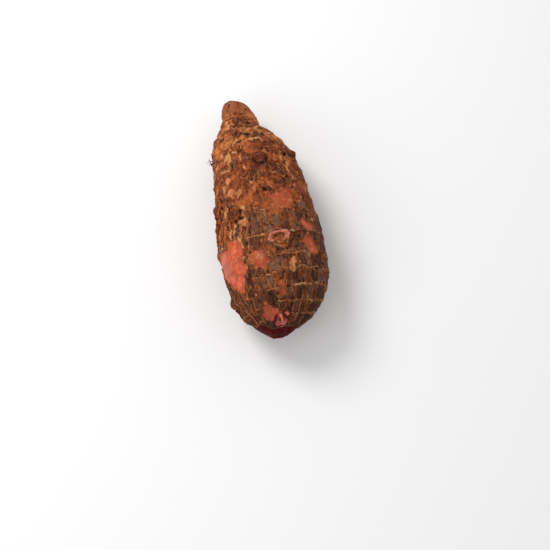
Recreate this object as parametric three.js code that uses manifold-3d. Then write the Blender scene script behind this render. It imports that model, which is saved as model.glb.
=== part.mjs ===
// A malanga cormel: a club-shaped tuber lying on its side, with a narrow neck where it broke
// from the mother corm, a blunt growing tip, ring scars left by its leaves, and side buds.
// Millimetres, +Z up. +Y points along the tuber from the growing tip to the neck, and the
// origin is at the middle of the bounding box, on the surface that the tuber rests on.
import * as THREE from "three";
import { mergeVertices } from "three/addons/utils/BufferGeometryUtils.js";
import Module from "manifold-3d";

// Driving dimensions, each station being a section across the tuber. "along" is its place on
// Y, "side" and "rise" are where its centre lies, and "halfWidth" is half its width.
const STATIONS = [
  { along: 80, side: -0.5, rise: 18.5, halfWidth: 0 },
  { along: 79, side: -0.5, rise: 18.5, halfWidth: 3.5 },
  { along: 75, side: 1.5, rise: 18.5, halfWidth: 8.3 },
  { along: 67, side: 2.5, rise: 18.5, halfWidth: 10.5 },
  { along: 58, side: 1.5, rise: 19.5, halfWidth: 14 },
  { along: 46, side: 2, rise: 22.5, halfWidth: 21 },
  { along: 30, side: 4.5, rise: 25.5, halfWidth: 26 },
  { along: 10, side: 4, rise: 27.5, halfWidth: 28.8 },
  { along: -12, side: 3.5, rise: 28.5, halfWidth: 30.7 },
  { along: -34, side: 2.5, rise: 29.5, halfWidth: 31.2 },
  { along: -52, side: 2.5, rise: 29.5, halfWidth: 29.4 },
  { along: -66, side: 1.5, rise: 29, halfWidth: 23.5 },
  { along: -75, side: -0.5, rise: 28.5, halfWidth: 13.3 },
  { along: -79, side: -4.5, rise: 28, halfWidth: 5.2 },
  { along: -80, side: -5, rise: 28, halfWidth: 0 },
];
const HEIGHT_TO_WIDTH = 0.95; // the sections are a little flatter than round
const PRESSED_IN = 0.4; // how much the underside is cut away besides, to widen its flat spot

// Ring scars: where each one crosses the top of the tuber, and how wide and proud it is.
const RINGS = [67, 60, 52.5, 44.5, 36, 26.5, 14.5, 2.5, -11, -26, -40, -49.5, -58.5, -66, -72];
const RING_HALF_WIDTH = 2.2;
const RING_HEIGHT = 0.55;
// Towards the neck the rings lean, because the tuber's own axis turns to one side there.
const NECK_LEAN = 0.45;
const LEAN_FROM = -40;
const LEAN_TO = 50;

// Side buds: place along Y, degrees round from the top towards +X, radius and height.
const BUDS = [
  { along: 24, around: 6, radius: 5, height: 1.6 },
  { along: -31, around: 9, radius: 6, height: 1.8 },
  { along: -73, around: -7, radius: 3.6, height: 2.2 },
  { along: 2.5, around: -74, radius: 4.5, height: 1.8 },
  { along: -7, around: -40, radius: 4.5, height: 1.4 },
  { along: 28, around: 62, radius: 4.5, height: 1 },
  { along: -44, around: 118, radius: 5.5, height: 2 },
  { along: -12, around: -128, radius: 5, height: 1.8 },
  { along: 17, around: 138, radius: 5, height: 2 },
  { along: 40, around: -132, radius: 4, height: 1.8 },
  { along: -53, around: -108, radius: 5, height: 2 },
];

// Broad unevenness of the flesh: how many swellings go round, their pitch along Y, and size.
const SWELLINGS = [
  { round: 2, pitch: 70, phase: 0.6, height: 0.45 },
  { round: 3, pitch: 46, phase: 2.1, height: 0.4 },
  { round: 5, pitch: 31, phase: 4.0, height: 0.25 },
];

// The relief dies away at both ends, and on the underside where the tuber is pressed smooth.
const END_FADE = 14; // half width at which the relief has its full height
const UNDERSIDE = -0.75; // cosine of the angle from the top where the pressed part begins

const COLUMNS = 64; // faces round the tuber
const ROWS = 54; // faces from the neck to the tip
const SKIN_BROWN = 0x7a4326;

const outline = new THREE.CatmullRomCurve3(
  STATIONS.map((station) => new THREE.Vector3(station.halfWidth, station.along, 0)),
  false,
  "catmullrom",
);
const spine = new THREE.CatmullRomCurve3(
  STATIONS.map((station) => new THREE.Vector3(station.side, station.along, station.rise)),
  false,
  "catmullrom",
);

// The section at a share of the way from neck to tip, measured along the outline.
function sectionAt(share) {
  const t = outline.getUtoTmapping(share);
  return { centre: spine.getPoint(t), halfWidth: Math.max(0, outline.getPoint(t).x) };
}

function pointOn({ centre, halfWidth }, angle) {
  return new THREE.Vector3(
    centre.x + halfWidth * Math.sin(angle),
    centre.y,
    centre.z + halfWidth * HEIGHT_TO_WIDTH * Math.cos(angle),
  );
}

// Height of the skin over the smooth section, at a point of that section.
function reliefAt(point, { centre, halfWidth }, angle) {
  const lean = NECK_LEAN * THREE.MathUtils.smoothstep(point.y, LEAN_FROM, LEAN_TO);
  const ringPlace = point.y + lean * (point.x - centre.x);
  let height = 0;
  for (const ring of RINGS) {
    height += RING_HEIGHT * Math.exp(-(((ringPlace - ring) / RING_HALF_WIDTH) ** 2));
  }
  for (const swelling of SWELLINGS) {
    const turn = swelling.round * angle + (2 * Math.PI * point.y) / swelling.pitch;
    height += swelling.height * Math.sin(turn + swelling.phase);
  }
  for (const bud of BUDS) {
    const turn = angle - THREE.MathUtils.degToRad(bud.around);
    const across = halfWidth * Math.atan2(Math.sin(turn), Math.cos(turn));
    const away = Math.hypot(across, point.y - bud.along) / bud.radius;
    height += bud.height * Math.exp(-(away ** 2));
  }
  const awayFromEnds = THREE.MathUtils.smoothstep(halfWidth, 0, END_FADE);
  const offTheGround = THREE.MathUtils.smoothstep(Math.cos(angle), -1, UNDERSIDE);
  return height * awayFromEnds * offTheGround;
}

// A closed grid: the neck's end point, loops of points down to the tip, and the tip's point.
function makeSkin() {
  const points = [];
  const reliefs = [];
  for (let row = 0; row <= ROWS; row++) {
    const section = sectionAt(row / ROWS);
    const isEnd = row === 0 || row === ROWS;
    for (let column = 0; column < (isEnd ? 1 : COLUMNS); column++) {
      const angle = (2 * Math.PI * column) / COLUMNS;
      const point = isEnd ? section.centre.clone() : pointOn(section, angle);
      points.push(point);
      reliefs.push(isEnd ? 0 : reliefAt(point, section, angle));
    }
  }

  const indices = [];
  const tip = points.length - 1;
  const at = (row, column) => 1 + (row - 1) * COLUMNS + (column % COLUMNS);
  for (let column = 0; column < COLUMNS; column++) {
    indices.push(0, at(1, column), at(1, column + 1));
    for (let row = 1; row < ROWS - 1; row++) {
      indices.push(at(row, column), at(row + 1, column), at(row + 1, column + 1));
      indices.push(at(row, column), at(row + 1, column + 1), at(row, column + 1));
    }
    indices.push(tip, at(ROWS - 1, column + 1), at(ROWS - 1, column));
  }

  const skin = new THREE.BufferGeometry().setFromPoints(points);
  skin.setIndex(indices);
  skin.computeVertexNormals();
  const normals = skin.getAttribute("normal");
  const outward = new THREE.Vector3();
  points.forEach((point, i) => {
    point.addScaledVector(outward.fromBufferAttribute(normals, i), reliefs[i]);
  });
  skin.setFromPoints(points);
  return skin;
}

const wasm = await Module();
wasm.setup();

function toSolid(geometry) {
  const bare = geometry.clone();
  bare.deleteAttribute("normal");
  bare.deleteAttribute("uv");
  const merged = mergeVertices(bare);
  return new wasm.Manifold(
    new wasm.Mesh({
      numProp: 3,
      vertProperties: new Float32Array(merged.getAttribute("position").array),
      triVerts: new Uint32Array(merged.index.array),
    }),
  );
}

function toGeometry(solid) {
  const { vertProperties, triVerts } = solid.getMesh();
  const geometry = new THREE.BufferGeometry();
  geometry.setAttribute("position", new THREE.BufferAttribute(vertProperties, 3));
  geometry.setIndex(new THREE.BufferAttribute(triVerts, 1));
  return geometry;
}

// What reaches below the ground is cut off, which leaves the flat spot that the tuber rests on.
function restOnGround(skin) {
  const lowered = skin.clone().translate(0, 0, -PRESSED_IN);
  const size = 4 * (STATIONS[0].along - STATIONS.at(-1).along);
  const ground = new THREE.BoxGeometry(size, size, size).translate(0, 0, -size / 2);
  const rested = toGeometry(toSolid(lowered).subtract(toSolid(ground)));
  rested.computeBoundingBox();
  const middle = rested.boundingBox.getCenter(new THREE.Vector3());
  rested.translate(-middle.x, -middle.y, 0);
  rested.computeVertexNormals();
  return rested;
}

const material = new THREE.MeshStandardMaterial({
  color: SKIN_BROWN,
  roughness: 0.85,
  metalness: 0,
});
const malanga = new THREE.Mesh(restOnGround(makeSkin()), material);
malanga.name = "malanga";

const group = new THREE.Group();
group.add(malanga);
export default group;
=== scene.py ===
"""A malanga cormel in full detail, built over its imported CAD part.

The script's own unit is the millimetre: UNIT turns it into the metres of the mesh data. "Along"
is the place on Y, from the growing tip (-80) to the neck (+80), and "around" is degrees round
the tuber from its top line, growing towards +X.
"""

import functools
import itertools
import math

import bpy
import numpy as np
from bpy.props import FloatProperty, FloatVectorProperty, IntProperty, PointerProperty
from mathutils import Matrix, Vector


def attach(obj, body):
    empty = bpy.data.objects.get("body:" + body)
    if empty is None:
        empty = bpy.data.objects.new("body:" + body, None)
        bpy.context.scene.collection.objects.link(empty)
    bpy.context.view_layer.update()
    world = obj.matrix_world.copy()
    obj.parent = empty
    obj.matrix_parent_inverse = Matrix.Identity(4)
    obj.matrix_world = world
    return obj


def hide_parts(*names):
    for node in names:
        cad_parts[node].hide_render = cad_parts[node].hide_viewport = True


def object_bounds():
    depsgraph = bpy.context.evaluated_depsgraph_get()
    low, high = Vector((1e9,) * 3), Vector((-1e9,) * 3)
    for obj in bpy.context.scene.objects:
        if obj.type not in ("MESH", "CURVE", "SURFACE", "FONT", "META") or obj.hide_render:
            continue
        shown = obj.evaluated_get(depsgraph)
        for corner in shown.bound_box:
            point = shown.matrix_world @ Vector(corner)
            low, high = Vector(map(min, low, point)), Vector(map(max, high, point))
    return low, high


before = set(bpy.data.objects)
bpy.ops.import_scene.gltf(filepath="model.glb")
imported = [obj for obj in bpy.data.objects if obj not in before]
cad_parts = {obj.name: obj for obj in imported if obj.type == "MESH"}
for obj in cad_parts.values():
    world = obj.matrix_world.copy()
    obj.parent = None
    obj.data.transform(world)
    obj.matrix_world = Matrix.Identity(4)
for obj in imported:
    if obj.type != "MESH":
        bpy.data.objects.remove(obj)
CAD_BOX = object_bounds()

bl_info = {
    "name": "Malanga Cormel",
    "version": (1, 0, 0),
    "blender": (4, 5, 0),
    "location": "3D View > Sidebar > Malanga",
    "description": "Builds a malanga cormel with papery skin, ring scars, buds and bare flesh",
    "category": "Add Mesh",
}

# The CAD part's length is 160 units, and every size below is in those units.
UNIT = (CAD_BOX[1].y - CAD_BOX[0].y) / 160

# Sections across the tuber, as on the CAD part: along, side, rise and half width.
STATIONS = np.array(
    [
        (80, -0.5, 18.5, 0),
        (79, -0.5, 18.5, 3.5),
        (75, 1.5, 18.5, 8.3),
        (67, 2.5, 18.5, 10.5),
        (58, 1.5, 19.5, 14),
        (46, 2, 22.5, 21),
        (30, 4.5, 25.5, 26),
        (10, 4, 27.5, 28.8),
        (-12, 3.5, 28.5, 30.7),
        (-34, 2.5, 29.5, 31.2),
        (-52, 2.5, 29.5, 29.4),
        (-66, 1.5, 29, 23.5),
        (-75, -0.5, 28.5, 13.3),
        (-79, -4.5, 28, 5.2),
        (-80, -5, 28, 0),
    ]
)
HEIGHT_TO_WIDTH = 0.95
PRESSED_IN = 0.4  # how much lower the tuber is set than its sections, on its flat spot
END_FADE = 14  # half width at which the relief has its full height
UNDERSIDE = -0.75  # cosine of "around" where the pressed underside begins

# Ring scars, where each crosses the top line, and how far the rings lean towards the neck.
RINGS = np.array([-72, -66, -58.5, -49.5, -40, -26, -11, 2.5, 14.5, 26.5, 36, 44.5, 52.5, 60, 67])
RING_HALF_WIDTH = 2.2
RING_HEIGHT = 0.55
NECK_LEAN = 0.45
BAND_ENDS = np.append(RINGS[1:], 74)  # where the band on each ring's neck side ends along

# Side buds: along, around, radius and height.
BUDS = [
    (24, 6, 5, 1.6),
    (-31, 9, 6, 1.8),
    (-73, -7, 3.6, 2.2),
    (2.5, -74, 4.5, 1.8),
    (-7, -40, 4.5, 1.4),
    (28, 62, 4.5, 1),
    (-44, 118, 5.5, 2),
    (-12, -128, 5, 1.8),
    (17, 138, 5, 2),
    (40, -132, 4, 1.8),
    (-53, -108, 5, 2),
]

OPEN_BUD = 1  # the one that has broken off, and left a cup
CUP_SHIFT = (1.6, -1.5)  # from that bud to the cup's middle: along, and around
TIP_BUD = 2
CUP_BOWL = (3.9, 3.4)  # radius and depth of the hollow that the cup stands in
MOATS = {0: 0.82}  # the moat's radius as a share of the bud's, where it isn't the usual one
USUAL_MOAT = 1.12
MOAT_WIDTH = 0.9
MOAT_DEPTH = 0.3

# Broad swellings: how many go round, their pitch along, phase and height.
SWELLINGS = [(2, 70, 0.6, 0.45), (3, 46, 2.1, 0.4), (5, 31, 4.0, 0.25)]

# Where the skin has come off: how fresh the flesh is, how firm the patch's edge is, then an
# outline of (along, around).
BARE_PATCHES = [
    (1.0, 1.0, [(-22, -51), (-24, -39), (-30, -35), (-37, -37), (-41, -35), (-47, -41), (-52, -46),
                (-55, -53), (-51, -62), (-45, -72), (-37, -86), (-30, -92), (-25, -76), (-26, -58)]),
    (0.55, 0.5, [(-34, -21), (-33, -13), (-38, -9), (-42, -10), (-46, -17), (-44, -27), (-37, -29)]),
    (1.0, 1.0, [(-30, 38), (-30, 47), (-35, 53), (-44, 55), (-40, 43), (-33, 36)]),
    (1.0, 1.0, [(-18, 38), (-20, 46), (-23, 54), (-26, 51), (-25, 42)]),
    (1.0, 0.8, [(-64, -34), (-67, -21), (-68, -11), (-71, -11), (-74, -22), (-74, -34), (-70, -41)]),
    (0.56, 0.2, [(0, 9), (2, 22), (0, 35), (-7, 32), (-12, 22), (-12, 9), (-5, 4)]),
    (0.9, 0.9, [(-55, -4), (-55.5, 1), (-62, 2.5), (-61.5, -3.5)]),
    (0.45, 0.6, [(17.5, 3), (17, 9), (12.5, 9), (14, 4)]),
    (0.9, 1.0, [(-20, 150), (-26, 166), (-38, 170), (-44, 158), (-36, 146), (-27, 144)]),
    (0.8, 0.8, [(10, -112), (4, -104), (-6, -108), (-8, -120), (2, -124)]),
    (1.0, 1.0, [(-52, 96), (-50, 106), (-60, 112), (-65, 102), (-60, 94)]),
]

# Soft patches of pale loose skin and of dark cork: along, around, half length and half width.
PALE_SPOTS = [
    (36, -27, 4, 2.6), (41, -19, 3, 2.4), (50, 34, 2, 2.5), (21, -15, 2, 1.6), (29, -36, 4, 2),
    (19, -42, 5, 1.6), (24, 36, 4, 1.2), (17, 41, 5, 1.1), (10, 42, 5, 1.2), (4, -8, 3.5, 1),
    (3, 12, 2.5, 1.6), (5, -24, 2, 3), (7, -37, 2.5, 3), (-14, -34, 2.4, 4), (-19, -46, 2.2, 3.4),
    (-12, -57, 4, 2), (-25, -33, 3.5, 2), (40, 12, 1.5, 4), (66.5, 7, 2, 1.5), (56.5, 2, 1.2, 1.8),
    (62, -34, 4, 2), (-45, 17.5, 2.4, 3.2), (-48, 16, 2.4, 3.4), (-50, 15, 2, 3), (-25, 4, 1.5, 3),
    (-36, -31, 2, 1.5), (56, -30, 3, 3), (-30, 128, 6, 3), (12, -150, 7, 4), (8, 110, 6, 3),
]
DARK_SPOTS = [
    (45, 4, 3, 3.2), (60, 2, 2.5, 5), (56, 12, 2, 3), (37, -14, 5, 1.8), (20, 10, 3, 5),
    (13, -3, 6, 7), (32, 22, 5, 2.5), (51, -24, 2, 6), (47, -45, 3, 5), (14, 28, 7, 4),
    (3, -3, 3, 3), (2, 6, 2.5, 2), (63, -30, 4, 3), (-8, -75, 5, 5), (-34, -99, 8, 5),
    (30, -12, 3, 2), (57, 5, 2.5, 4), (61.5, 9, 2, 5), (71, -30, 3, 2), (-20, -70, 12, 3),
    (22, -70, 6, 4), (44, 30, 2.6, 3), (-37, 3, 5, 3), (-30, 24, 7, 4), (-42, -13, 4, 2.5),
]
# Plates that are grey, in the same way.
GREY_SPOTS = [(-45, 2, 6, 4), (-61, 12, 3, 3), (-49, -8, 5, 2.5), (-17, 12, 6, 5), (-60, 140, 8, 8)]

# Scars of roots: along, around and radius. More are strewn over the sides and the back.
ROOT_SCARS = [
    (45, 4, 1.9), (44, 30, 2.1), (44, 30, 1.4), (27, 45, 1.3), (2, 3, 1.4), (57, -14, 1.2), (26, 43, 1.2),
]
STREWN_SCARS = 70
# Low knolls on the shoulder and the left flank, in the way of the spots.
KNOLLS = [
    (48, 19, 2.8, 3.5), (38, 32, 2.2, 3), (31, 36, 2.2, 2.4), (36, -6, 3, 3), (50, -22, 2, 7),
    (1.5, -70, 5, 4.5), (-60, -70, 4, 4),
]
# Where the flanks are flatter than the sections, in the same way.
HOLLOWS = [(33, -85, 18, 18), (56, 70, 5, 12)]

# Heights and depths of the fine relief.
KNOLL_HEIGHT = 0.8
HOLLOW_DEPTH = 1.6
FRINGE_HEIGHT = 0.3
WRINKLE_HEIGHT = 0.24
GRAIN_HEIGHT = 0.03
COLLAR_HEIGHT = 0.25  # of the skin round the tip's sheath
SHEATH_DEPTH = 0.9  # of the skin under that sheath

STRAND_FLATNESS = 0.65  # a fibre's height as a share of its width
STRAND_TIP = 0.4  # how far its pointed end goes past its path, as a share of a step
FIBRE_REACH = (-77, 58)  # where the lengthwise fibres end along
TUFT_PLACE = (39, -88)  # along and around, of the tuft of roots on the left flank
SCAR_RADIUS = 5.6  # of the break scar

# The stage in metres: half the floor's side, and each light's place and size.
FLOOR_HALF = 3.0
KEY_PLACE, KEY_SIZE = (-0.35, 0.45, 0.75), 0.45
FILL_PLACE, FILL_SIZE = (-0.6, -0.3, 0.5), 0.5
VIEW_TARGET = (0.4, -34.4, 0)  # what the camera looks at, in mm
LENS = 70

ROWS = 300  # loops of points between the neck's end and the tip
NECK_ROWS = 40  # how many of them are on the neck
COLUMNS = 320  # points in each loop
FINE_STEPS = 4000  # places on the outline from which lengths along it are measured
USUAL_RADIUS = 30  # of the tuber, for patterns that run lengthwise
SPLITS = 34  # lengthwise splits round the skin
SPLIT_SHIFT = 0.72  # how far a split strays between two rings, as a share of their spacing
OPEN_SPLITS = 0.85  # share of the splits that show
SHEATH_EDGE = -77.3  # where the tip's sheath begins along, and how much higher on the left
SHEATH_REACH = 8.6


# ---------------------------------------------------------------- numbers


def smooth(value, low, high):
    """0 below low, 1 above high, and the cubic 3t^2 - 2t^3 between them."""
    t = np.clip((value - low) / (high - low), 0, 1)
    return t * t * (3 - 2 * t)


def hump(value, middle, width):
    """A Gaussian, 1 at its middle and 1/e at this width from it."""
    return np.exp(-(((value - middle) / width) ** 2))


def scatter(seed, *wholes):
    """Evenly random numbers from 0 to 1, the same for the same whole numbers: each number is
    mixed in by an exclusive or, a multiplication by an odd constant and a folding shift."""
    mixed = np.uint32(seed * 2654435761 % 2**32)
    for whole in wholes:
        mixed = (mixed ^ np.asarray(whole).astype(np.int64).astype(np.uint32)) * np.uint32(2246822519)
        mixed ^= mixed >> np.uint32(13)
        mixed = mixed * np.uint32(3266489917)
        mixed ^= mixed >> np.uint32(16)
    return mixed / 2**32


def unit(vectors):
    return vectors / np.maximum(np.linalg.norm(vectors, axis=-1, keepdims=True), 1e-12)


SLOPES = unit(np.random.default_rng(7).normal(size=(256, 3)))  # spread evenly over the sphere


def noise(points, seed=0):
    """Gradient noise, about -1 to 1. Each of the 8 corners of the unit cell round a point has a
    random slope, and the heights they give are blended by the quintic 6t^5 - 15t^4 + 10t^3."""
    corner = np.floor(points)
    inside = points - corner
    weight = inside**3 * (inside * (inside * 6 - 15) + 10)
    total = 0
    for step in itertools.product((0, 1), repeat=3):
        place = corner + step
        slope = SLOPES[(scatter(seed, place[..., 0], place[..., 1], place[..., 2]) * 256).astype(int)]
        height = ((inside - step) * slope).sum(-1)
        total = total + height * np.where(step, weight, 1 - weight).prod(-1)
    return total * 5.3


def fractal(points, size, octaves=3, seed=0):
    """Noise summed over octaves, each half the size and 0.55 of the height of the last, with a
    standard deviation of about 1. Size is the first octave's cell, or one size for each axis."""
    heights = 0.55 ** np.arange(octaves)
    layers = [
        height * noise(points * 2.0**octave / size, seed + 31 * octave)
        for octave, height in enumerate(heights)
    ]
    return sum(layers) / math.sqrt((heights**2).sum())


def blurred(field, reach):
    """Each value's average over a square of 2 * reach + 1 rows and columns, wrapping round the
    columns and repeating the end rows, from two running sums."""
    side = 2 * reach + 1
    wide = np.pad(field, ((0, 0), (reach + 1, reach)), mode="wrap").cumsum(1)
    wide = (wide[:, side:] - wide[:, :-side]) / side
    tall = np.pad(wide, ((reach + 1, reach), (0, 0)), mode="edge").cumsum(0)
    return (tall[side:] - tall[:-side]) / side


def turned(degrees):
    """The same angle between -180 and 180."""
    return (degrees + 180) % 360 - 180


def across(half_width, around, line):
    """Distance in mm round the tuber from a line along it, growing towards +X on its top."""
    return half_width * np.radians(turned(around - line))


# ---------------------------------------------------------------- the tuber's surface


def sections(share):
    """Along, side, rise and half width at shares of the way through the stations: a uniform
    Catmull-Rom cubic through four stations at a time, with the end ones mirrored."""
    before, after = 2 * STATIONS[:1] - STATIONS[1:2], 2 * STATIONS[-1:] - STATIONS[-2:-1]
    knots = np.concatenate([before, STATIONS, after])
    place = share * (len(STATIONS) - 1)
    first = np.minimum(place.astype(int), len(STATIONS) - 2)
    t = (place - first)[:, None]
    a, b, c, d = (knots[first + k] for k in range(4))
    cubic = (3 * b - a - 3 * c + d) * t**3 + (2 * a - 5 * b + 4 * c - d) * t**2
    return (cubic + (c - a) * t + 2 * b) / 2


def measured_outline():
    """Stations close together, and the outline's length from the neck's end to each."""
    fine = sections(np.linspace(0, 1, FINE_STEPS))
    steps = np.hypot(np.diff(fine[:, 0]), np.diff(fine[:, 3]))
    return fine, np.concatenate([[0], steps.cumsum()])


OUTLINE, OUTLINE_LENGTH = measured_outline()


def walked(along):
    """Length of the outline from the neck's end to each place along."""
    return np.interp(-np.asarray(along, float), -OUTLINE[:, 0], OUTLINE_LENGTH)


def low_relief(along, around, half_width, ring_place):
    """The relief that the CAD part has too: a Gaussian ridge on each ring scar, swellings that
    wind round as sines, and a Gaussian knoll on each bud."""
    height = RING_HEIGHT * hump(ring_place[..., None], RINGS, RING_HALF_WIDTH).sum(-1)
    for times, pitch, phase, swell in SWELLINGS:
        turn = times * np.radians(around) + 2 * np.pi * along / pitch + phase
        height = height + swell * np.sin(turn)
    for bud_along, bud_around, radius, bud_height in BUDS:
        away = np.hypot(across(half_width, around, bud_around), along - bud_along) / radius
        height = height + bud_height * hump(away, 0, 1)
    underside = smooth(np.cos(np.radians(around)), -1, UNDERSIDE)
    return height * smooth(half_width, 0, END_FADE) * underside


def outward(points, first, last):
    """Unit normals of a grid that closes round its columns and ends in two points: the cross
    product of the step from row to row and the step from column to column."""
    ends = [np.broadcast_to(end, points[:1].shape) for end in (first, last)]
    tall = np.concatenate([ends[0], points, ends[1]])
    return unit(np.cross(tall[2:] - tall[:-2], np.roll(points, -1, axis=1) - np.roll(points, 1, axis=1)))


def inside_outline(x, y, outline):
    """Signed distance to a closed outline, positive inside: the least distance to its edges,
    with the sign from how many edges a ray to the right crosses."""
    nearest = np.full(x.shape, 1e9)
    crossed = np.zeros(x.shape, bool)
    for (x1, y1), (x2, y2) in zip(outline, np.roll(outline, -1, axis=0)):
        share = ((x - x1) * (x2 - x1) + (y - y1) * (y2 - y1)) / ((x2 - x1) ** 2 + (y2 - y1) ** 2)
        share = np.clip(share, 0, 1)
        away = np.hypot(x - x1 - share * (x2 - x1), y - y1 - share * (y2 - y1))
        nearest = np.minimum(nearest, away)
        crossed ^= ((y1 > y) != (y2 > y)) & (x < (x2 - x1) * (y - y1) / (y2 - y1 + 1e-12) + x1)
    return np.where(crossed, nearest, -nearest)


def on_cylinder(along, around):
    """Places on a cylinder of the tuber's usual radius, where lengthwise patterns are even."""
    angle = np.radians(around)
    return np.stack([USUAL_RADIUS * np.sin(angle), along, USUAL_RADIUS * np.cos(angle)], axis=-1)


def sheath_edge(around):
    """Where the tip's sheath begins along: it reaches up on the left, and is ragged."""
    left = smooth(-turned(around), 25, 110) * smooth(turned(around), -180, -130)
    ragged = 0.3 * fractal(on_cylinder(0 * around, around), 12, 3, 34)
    return SHEATH_EDGE + SHEATH_REACH * left + ragged


class Skin:
    """The finished skin as a grid, with the fields that its material reads and ways to find
    points on it, so that other pieces can be laid on it."""

    def __init__(self, skin_thickness, lump_height, strip_height):
        evenly = np.linspace(0, OUTLINE_LENGTH[-1], ROWS + 2)
        stations = sections(np.interp(evenly, OUTLINE_LENGTH, np.linspace(0, 1, FINE_STEPS)))
        self.all_along = stations[:, 0]
        self.all_half_width = stations[:, 3]
        rows = stations[1:-1]
        around = turned(np.arange(COLUMNS) * 360 / COLUMNS)
        self.along, self.around = np.meshgrid(rows[:, 0], around, indexing="ij")
        self.half_width = np.repeat(rows[:, 3:], COLUMNS, axis=1)
        self.row_walked = walked(rows[:, 0])
        sideways = self.half_width * np.sin(np.radians(self.around))
        upwards = self.half_width * np.cos(np.radians(self.around)) * HEIGHT_TO_WIDTH
        place = np.stack([rows[:, 1:2] + sideways, self.along, rows[:, 2:3] + upwards], axis=-1)
        self.ends = stations[[0, -1]][:, [1, 0, 2]]
        lean = NECK_LEAN * smooth(self.along, -40, 50)
        self.ring_place = self.along + lean * sideways
        relief = low_relief(self.along, self.around, self.half_width, self.ring_place)
        place = place + relief[..., None] * outward(place, *self.ends)
        middle = (place[..., 0].min() + place[..., 0].max()) / 2
        shift = np.array([-middle, 0, -PRESSED_IN])
        self.place = place + shift
        self.ends = self.ends + shift
        self.middles = stations[:, 1:3] + shift[[0, 2]]
        self.fibre_space = on_cylinder(self.along, self.around)
        self.grow(skin_thickness, lump_height, strip_height)

    def width_at(self, along):
        return np.interp(-np.asarray(along, float), -self.all_along, self.all_half_width)

    def bare(self):
        """Signed distance in mm into the bare flesh, and how fresh the nearest patch is. The
        outlines are measured on the skin unrolled round each patch's middle, and made ragged."""
        ragged = 0.65 * fractal(self.place, 5, 4, 11)
        ragged = ragged + 0.3 * fractal(self.fibre_space, (1.2, 3.5, 1.2), 2, 12)
        deepest = np.full(self.along.shape, -9.0)
        fresh = np.zeros(self.along.shape)
        firm = np.ones(self.along.shape)
        for freshness, firmness, outline in BARE_PATCHES:
            outline = np.array(outline, float)
            middle = outline[:, 1].mean()
            corners_across = across(self.width_at(outline[:, 0]), outline[:, 1], middle)
            corners = np.stack([corners_across, walked(outline[:, 0])], axis=1)
            here_across = across(self.half_width, self.around, middle)
            deep = inside_outline(here_across, self.row_walked[:, None] + 0 * here_across, corners)
            fresh = np.where(deep > deepest, freshness, fresh)
            firm = np.where(deep > deepest, firmness, firm)
            deepest = np.maximum(deepest, deep)
        return np.clip(deepest + ragged * (2 - firm), -4, 4) * firm, fresh

    def bend(self, fibre_space):
        """How far the lengthwise splits wander, in shares of their spacing."""
        wide = 0.19 * fractal(fibre_space, (13, 26, 13), 2, 21)
        return wide + 0.06 * fractal(fibre_space, (4, 6, 4), 2, 22)

    def split_place(self, line, band):
        """Where each lengthwise split lies between two ring scars: at its whole number, moved
        by its own random step in that band."""
        return line + SPLIT_SHIFT * (scatter(5, line % SPLITS, band) - 0.5)

    def split_lines(self, band):
        """Distance in mm to the nearest split, and the random tone of the plate beside it."""
        place = self.around / 360 * SPLITS + self.bend(self.fibre_space) + SPLITS
        near = np.full(place.shape, 9.0)
        plate = np.floor(place) - 1
        for step in (-1, 0, 1, 2):
            line = np.floor(place) + step
            moved = self.split_place(line, band)
            is_open = scatter(6, line % SPLITS, band) < OPEN_SPLITS
            near = np.where(is_open, np.minimum(near, np.abs(place - moved)), near)
            if step in (0, 1):
                plate = plate + (moved <= place)
        return near * 2 * np.pi * self.half_width / SPLITS, scatter(8, plate % SPLITS, band)

    def zones(self):
        """Shares from 0 to 1 of the parts of the skin: its left and right flanks, its back, and along it
        the neck, the shoulder, the upper half and the end round the tip, which the skin's shader darkens
        with painted shade."""
        along, around = self.along, self.around
        torn = along + 3 * fractal(self.place, (14, 9, 14), 3, 48)
        return {
            "left": smooth(-around, 12, 45) * smooth(around, -120, -95),
            "right": smooth(around, 14, 36) * smooth(-around, -120, -95),
            "back": smooth(np.abs(around), 88, 115),
            "neck": smooth(torn, 53, 67),
            "shoulder": smooth(along, 33, 43),
            "upper": smooth(torn, -15, -8),
            "tip": smooth(-along, 52, 72),
        }

    def spotted(self, spots):
        """The sum of one Gaussian for each spot, which is 1 at its middle."""
        total = np.zeros(self.along.shape)
        for along, around, half_length, half_width in spots:
            aside = across(self.half_width, self.around, around) / half_width
            total += np.exp(-(aside**2) - ((self.along - along) / half_length) ** 2)
        return total

    def warmth(self, zone):
        """How orange the cork is, in standard deviations: orange in a worn belt round the middle
        and on the left of the shoulder, and redder below the shoulder's bud."""
        belt = 0.15 * hump(self.along, -3, 7) * (1 - zone["back"])
        on_top = smooth(np.cos(np.radians(self.around)), 0.6, 0.9)
        shoulder = 0.6 * zone["shoulder"] * zone["left"]
        return 1.1 * fractal(self.place, 13, 4, 44) + belt - hump(self.along, 16, 9) * on_top + shoulder

    def paper_level(self, zone):
        """How high, in standard deviations, the tearing noise has to be for papery skin to be
        left: low on the lower half, high on the upper half, and out of reach on the neck."""
        lower = -2.0 + 1.9 * zone["left"] * smooth(self.along, -52, -34)
        upper = 1.7 - 1.2 * zone["right"] - 1.5 * zone["back"] - 0.4 * zone["left"]
        level = lower + (upper - lower) * zone["upper"]
        level = level + (1.2 - level) * zone["shoulder"]
        return level + 2.5 * zone["neck"]

    def flake_level(self, zone):
        """The same for tan flakes: few on the lower half, most on the upper left flank."""
        lower = 2.2 - 0.9 * zone["left"] * smooth(self.along, -55, -35)
        upper = 1.9 - 0.7 * zone["left"] - 0.5 * zone["right"] - 0.4 * zone["back"]
        level = lower + (upper - lower) * zone["upper"]
        return level - 0.1 * zone["shoulder"] + 1.1 * zone["neck"]

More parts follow.
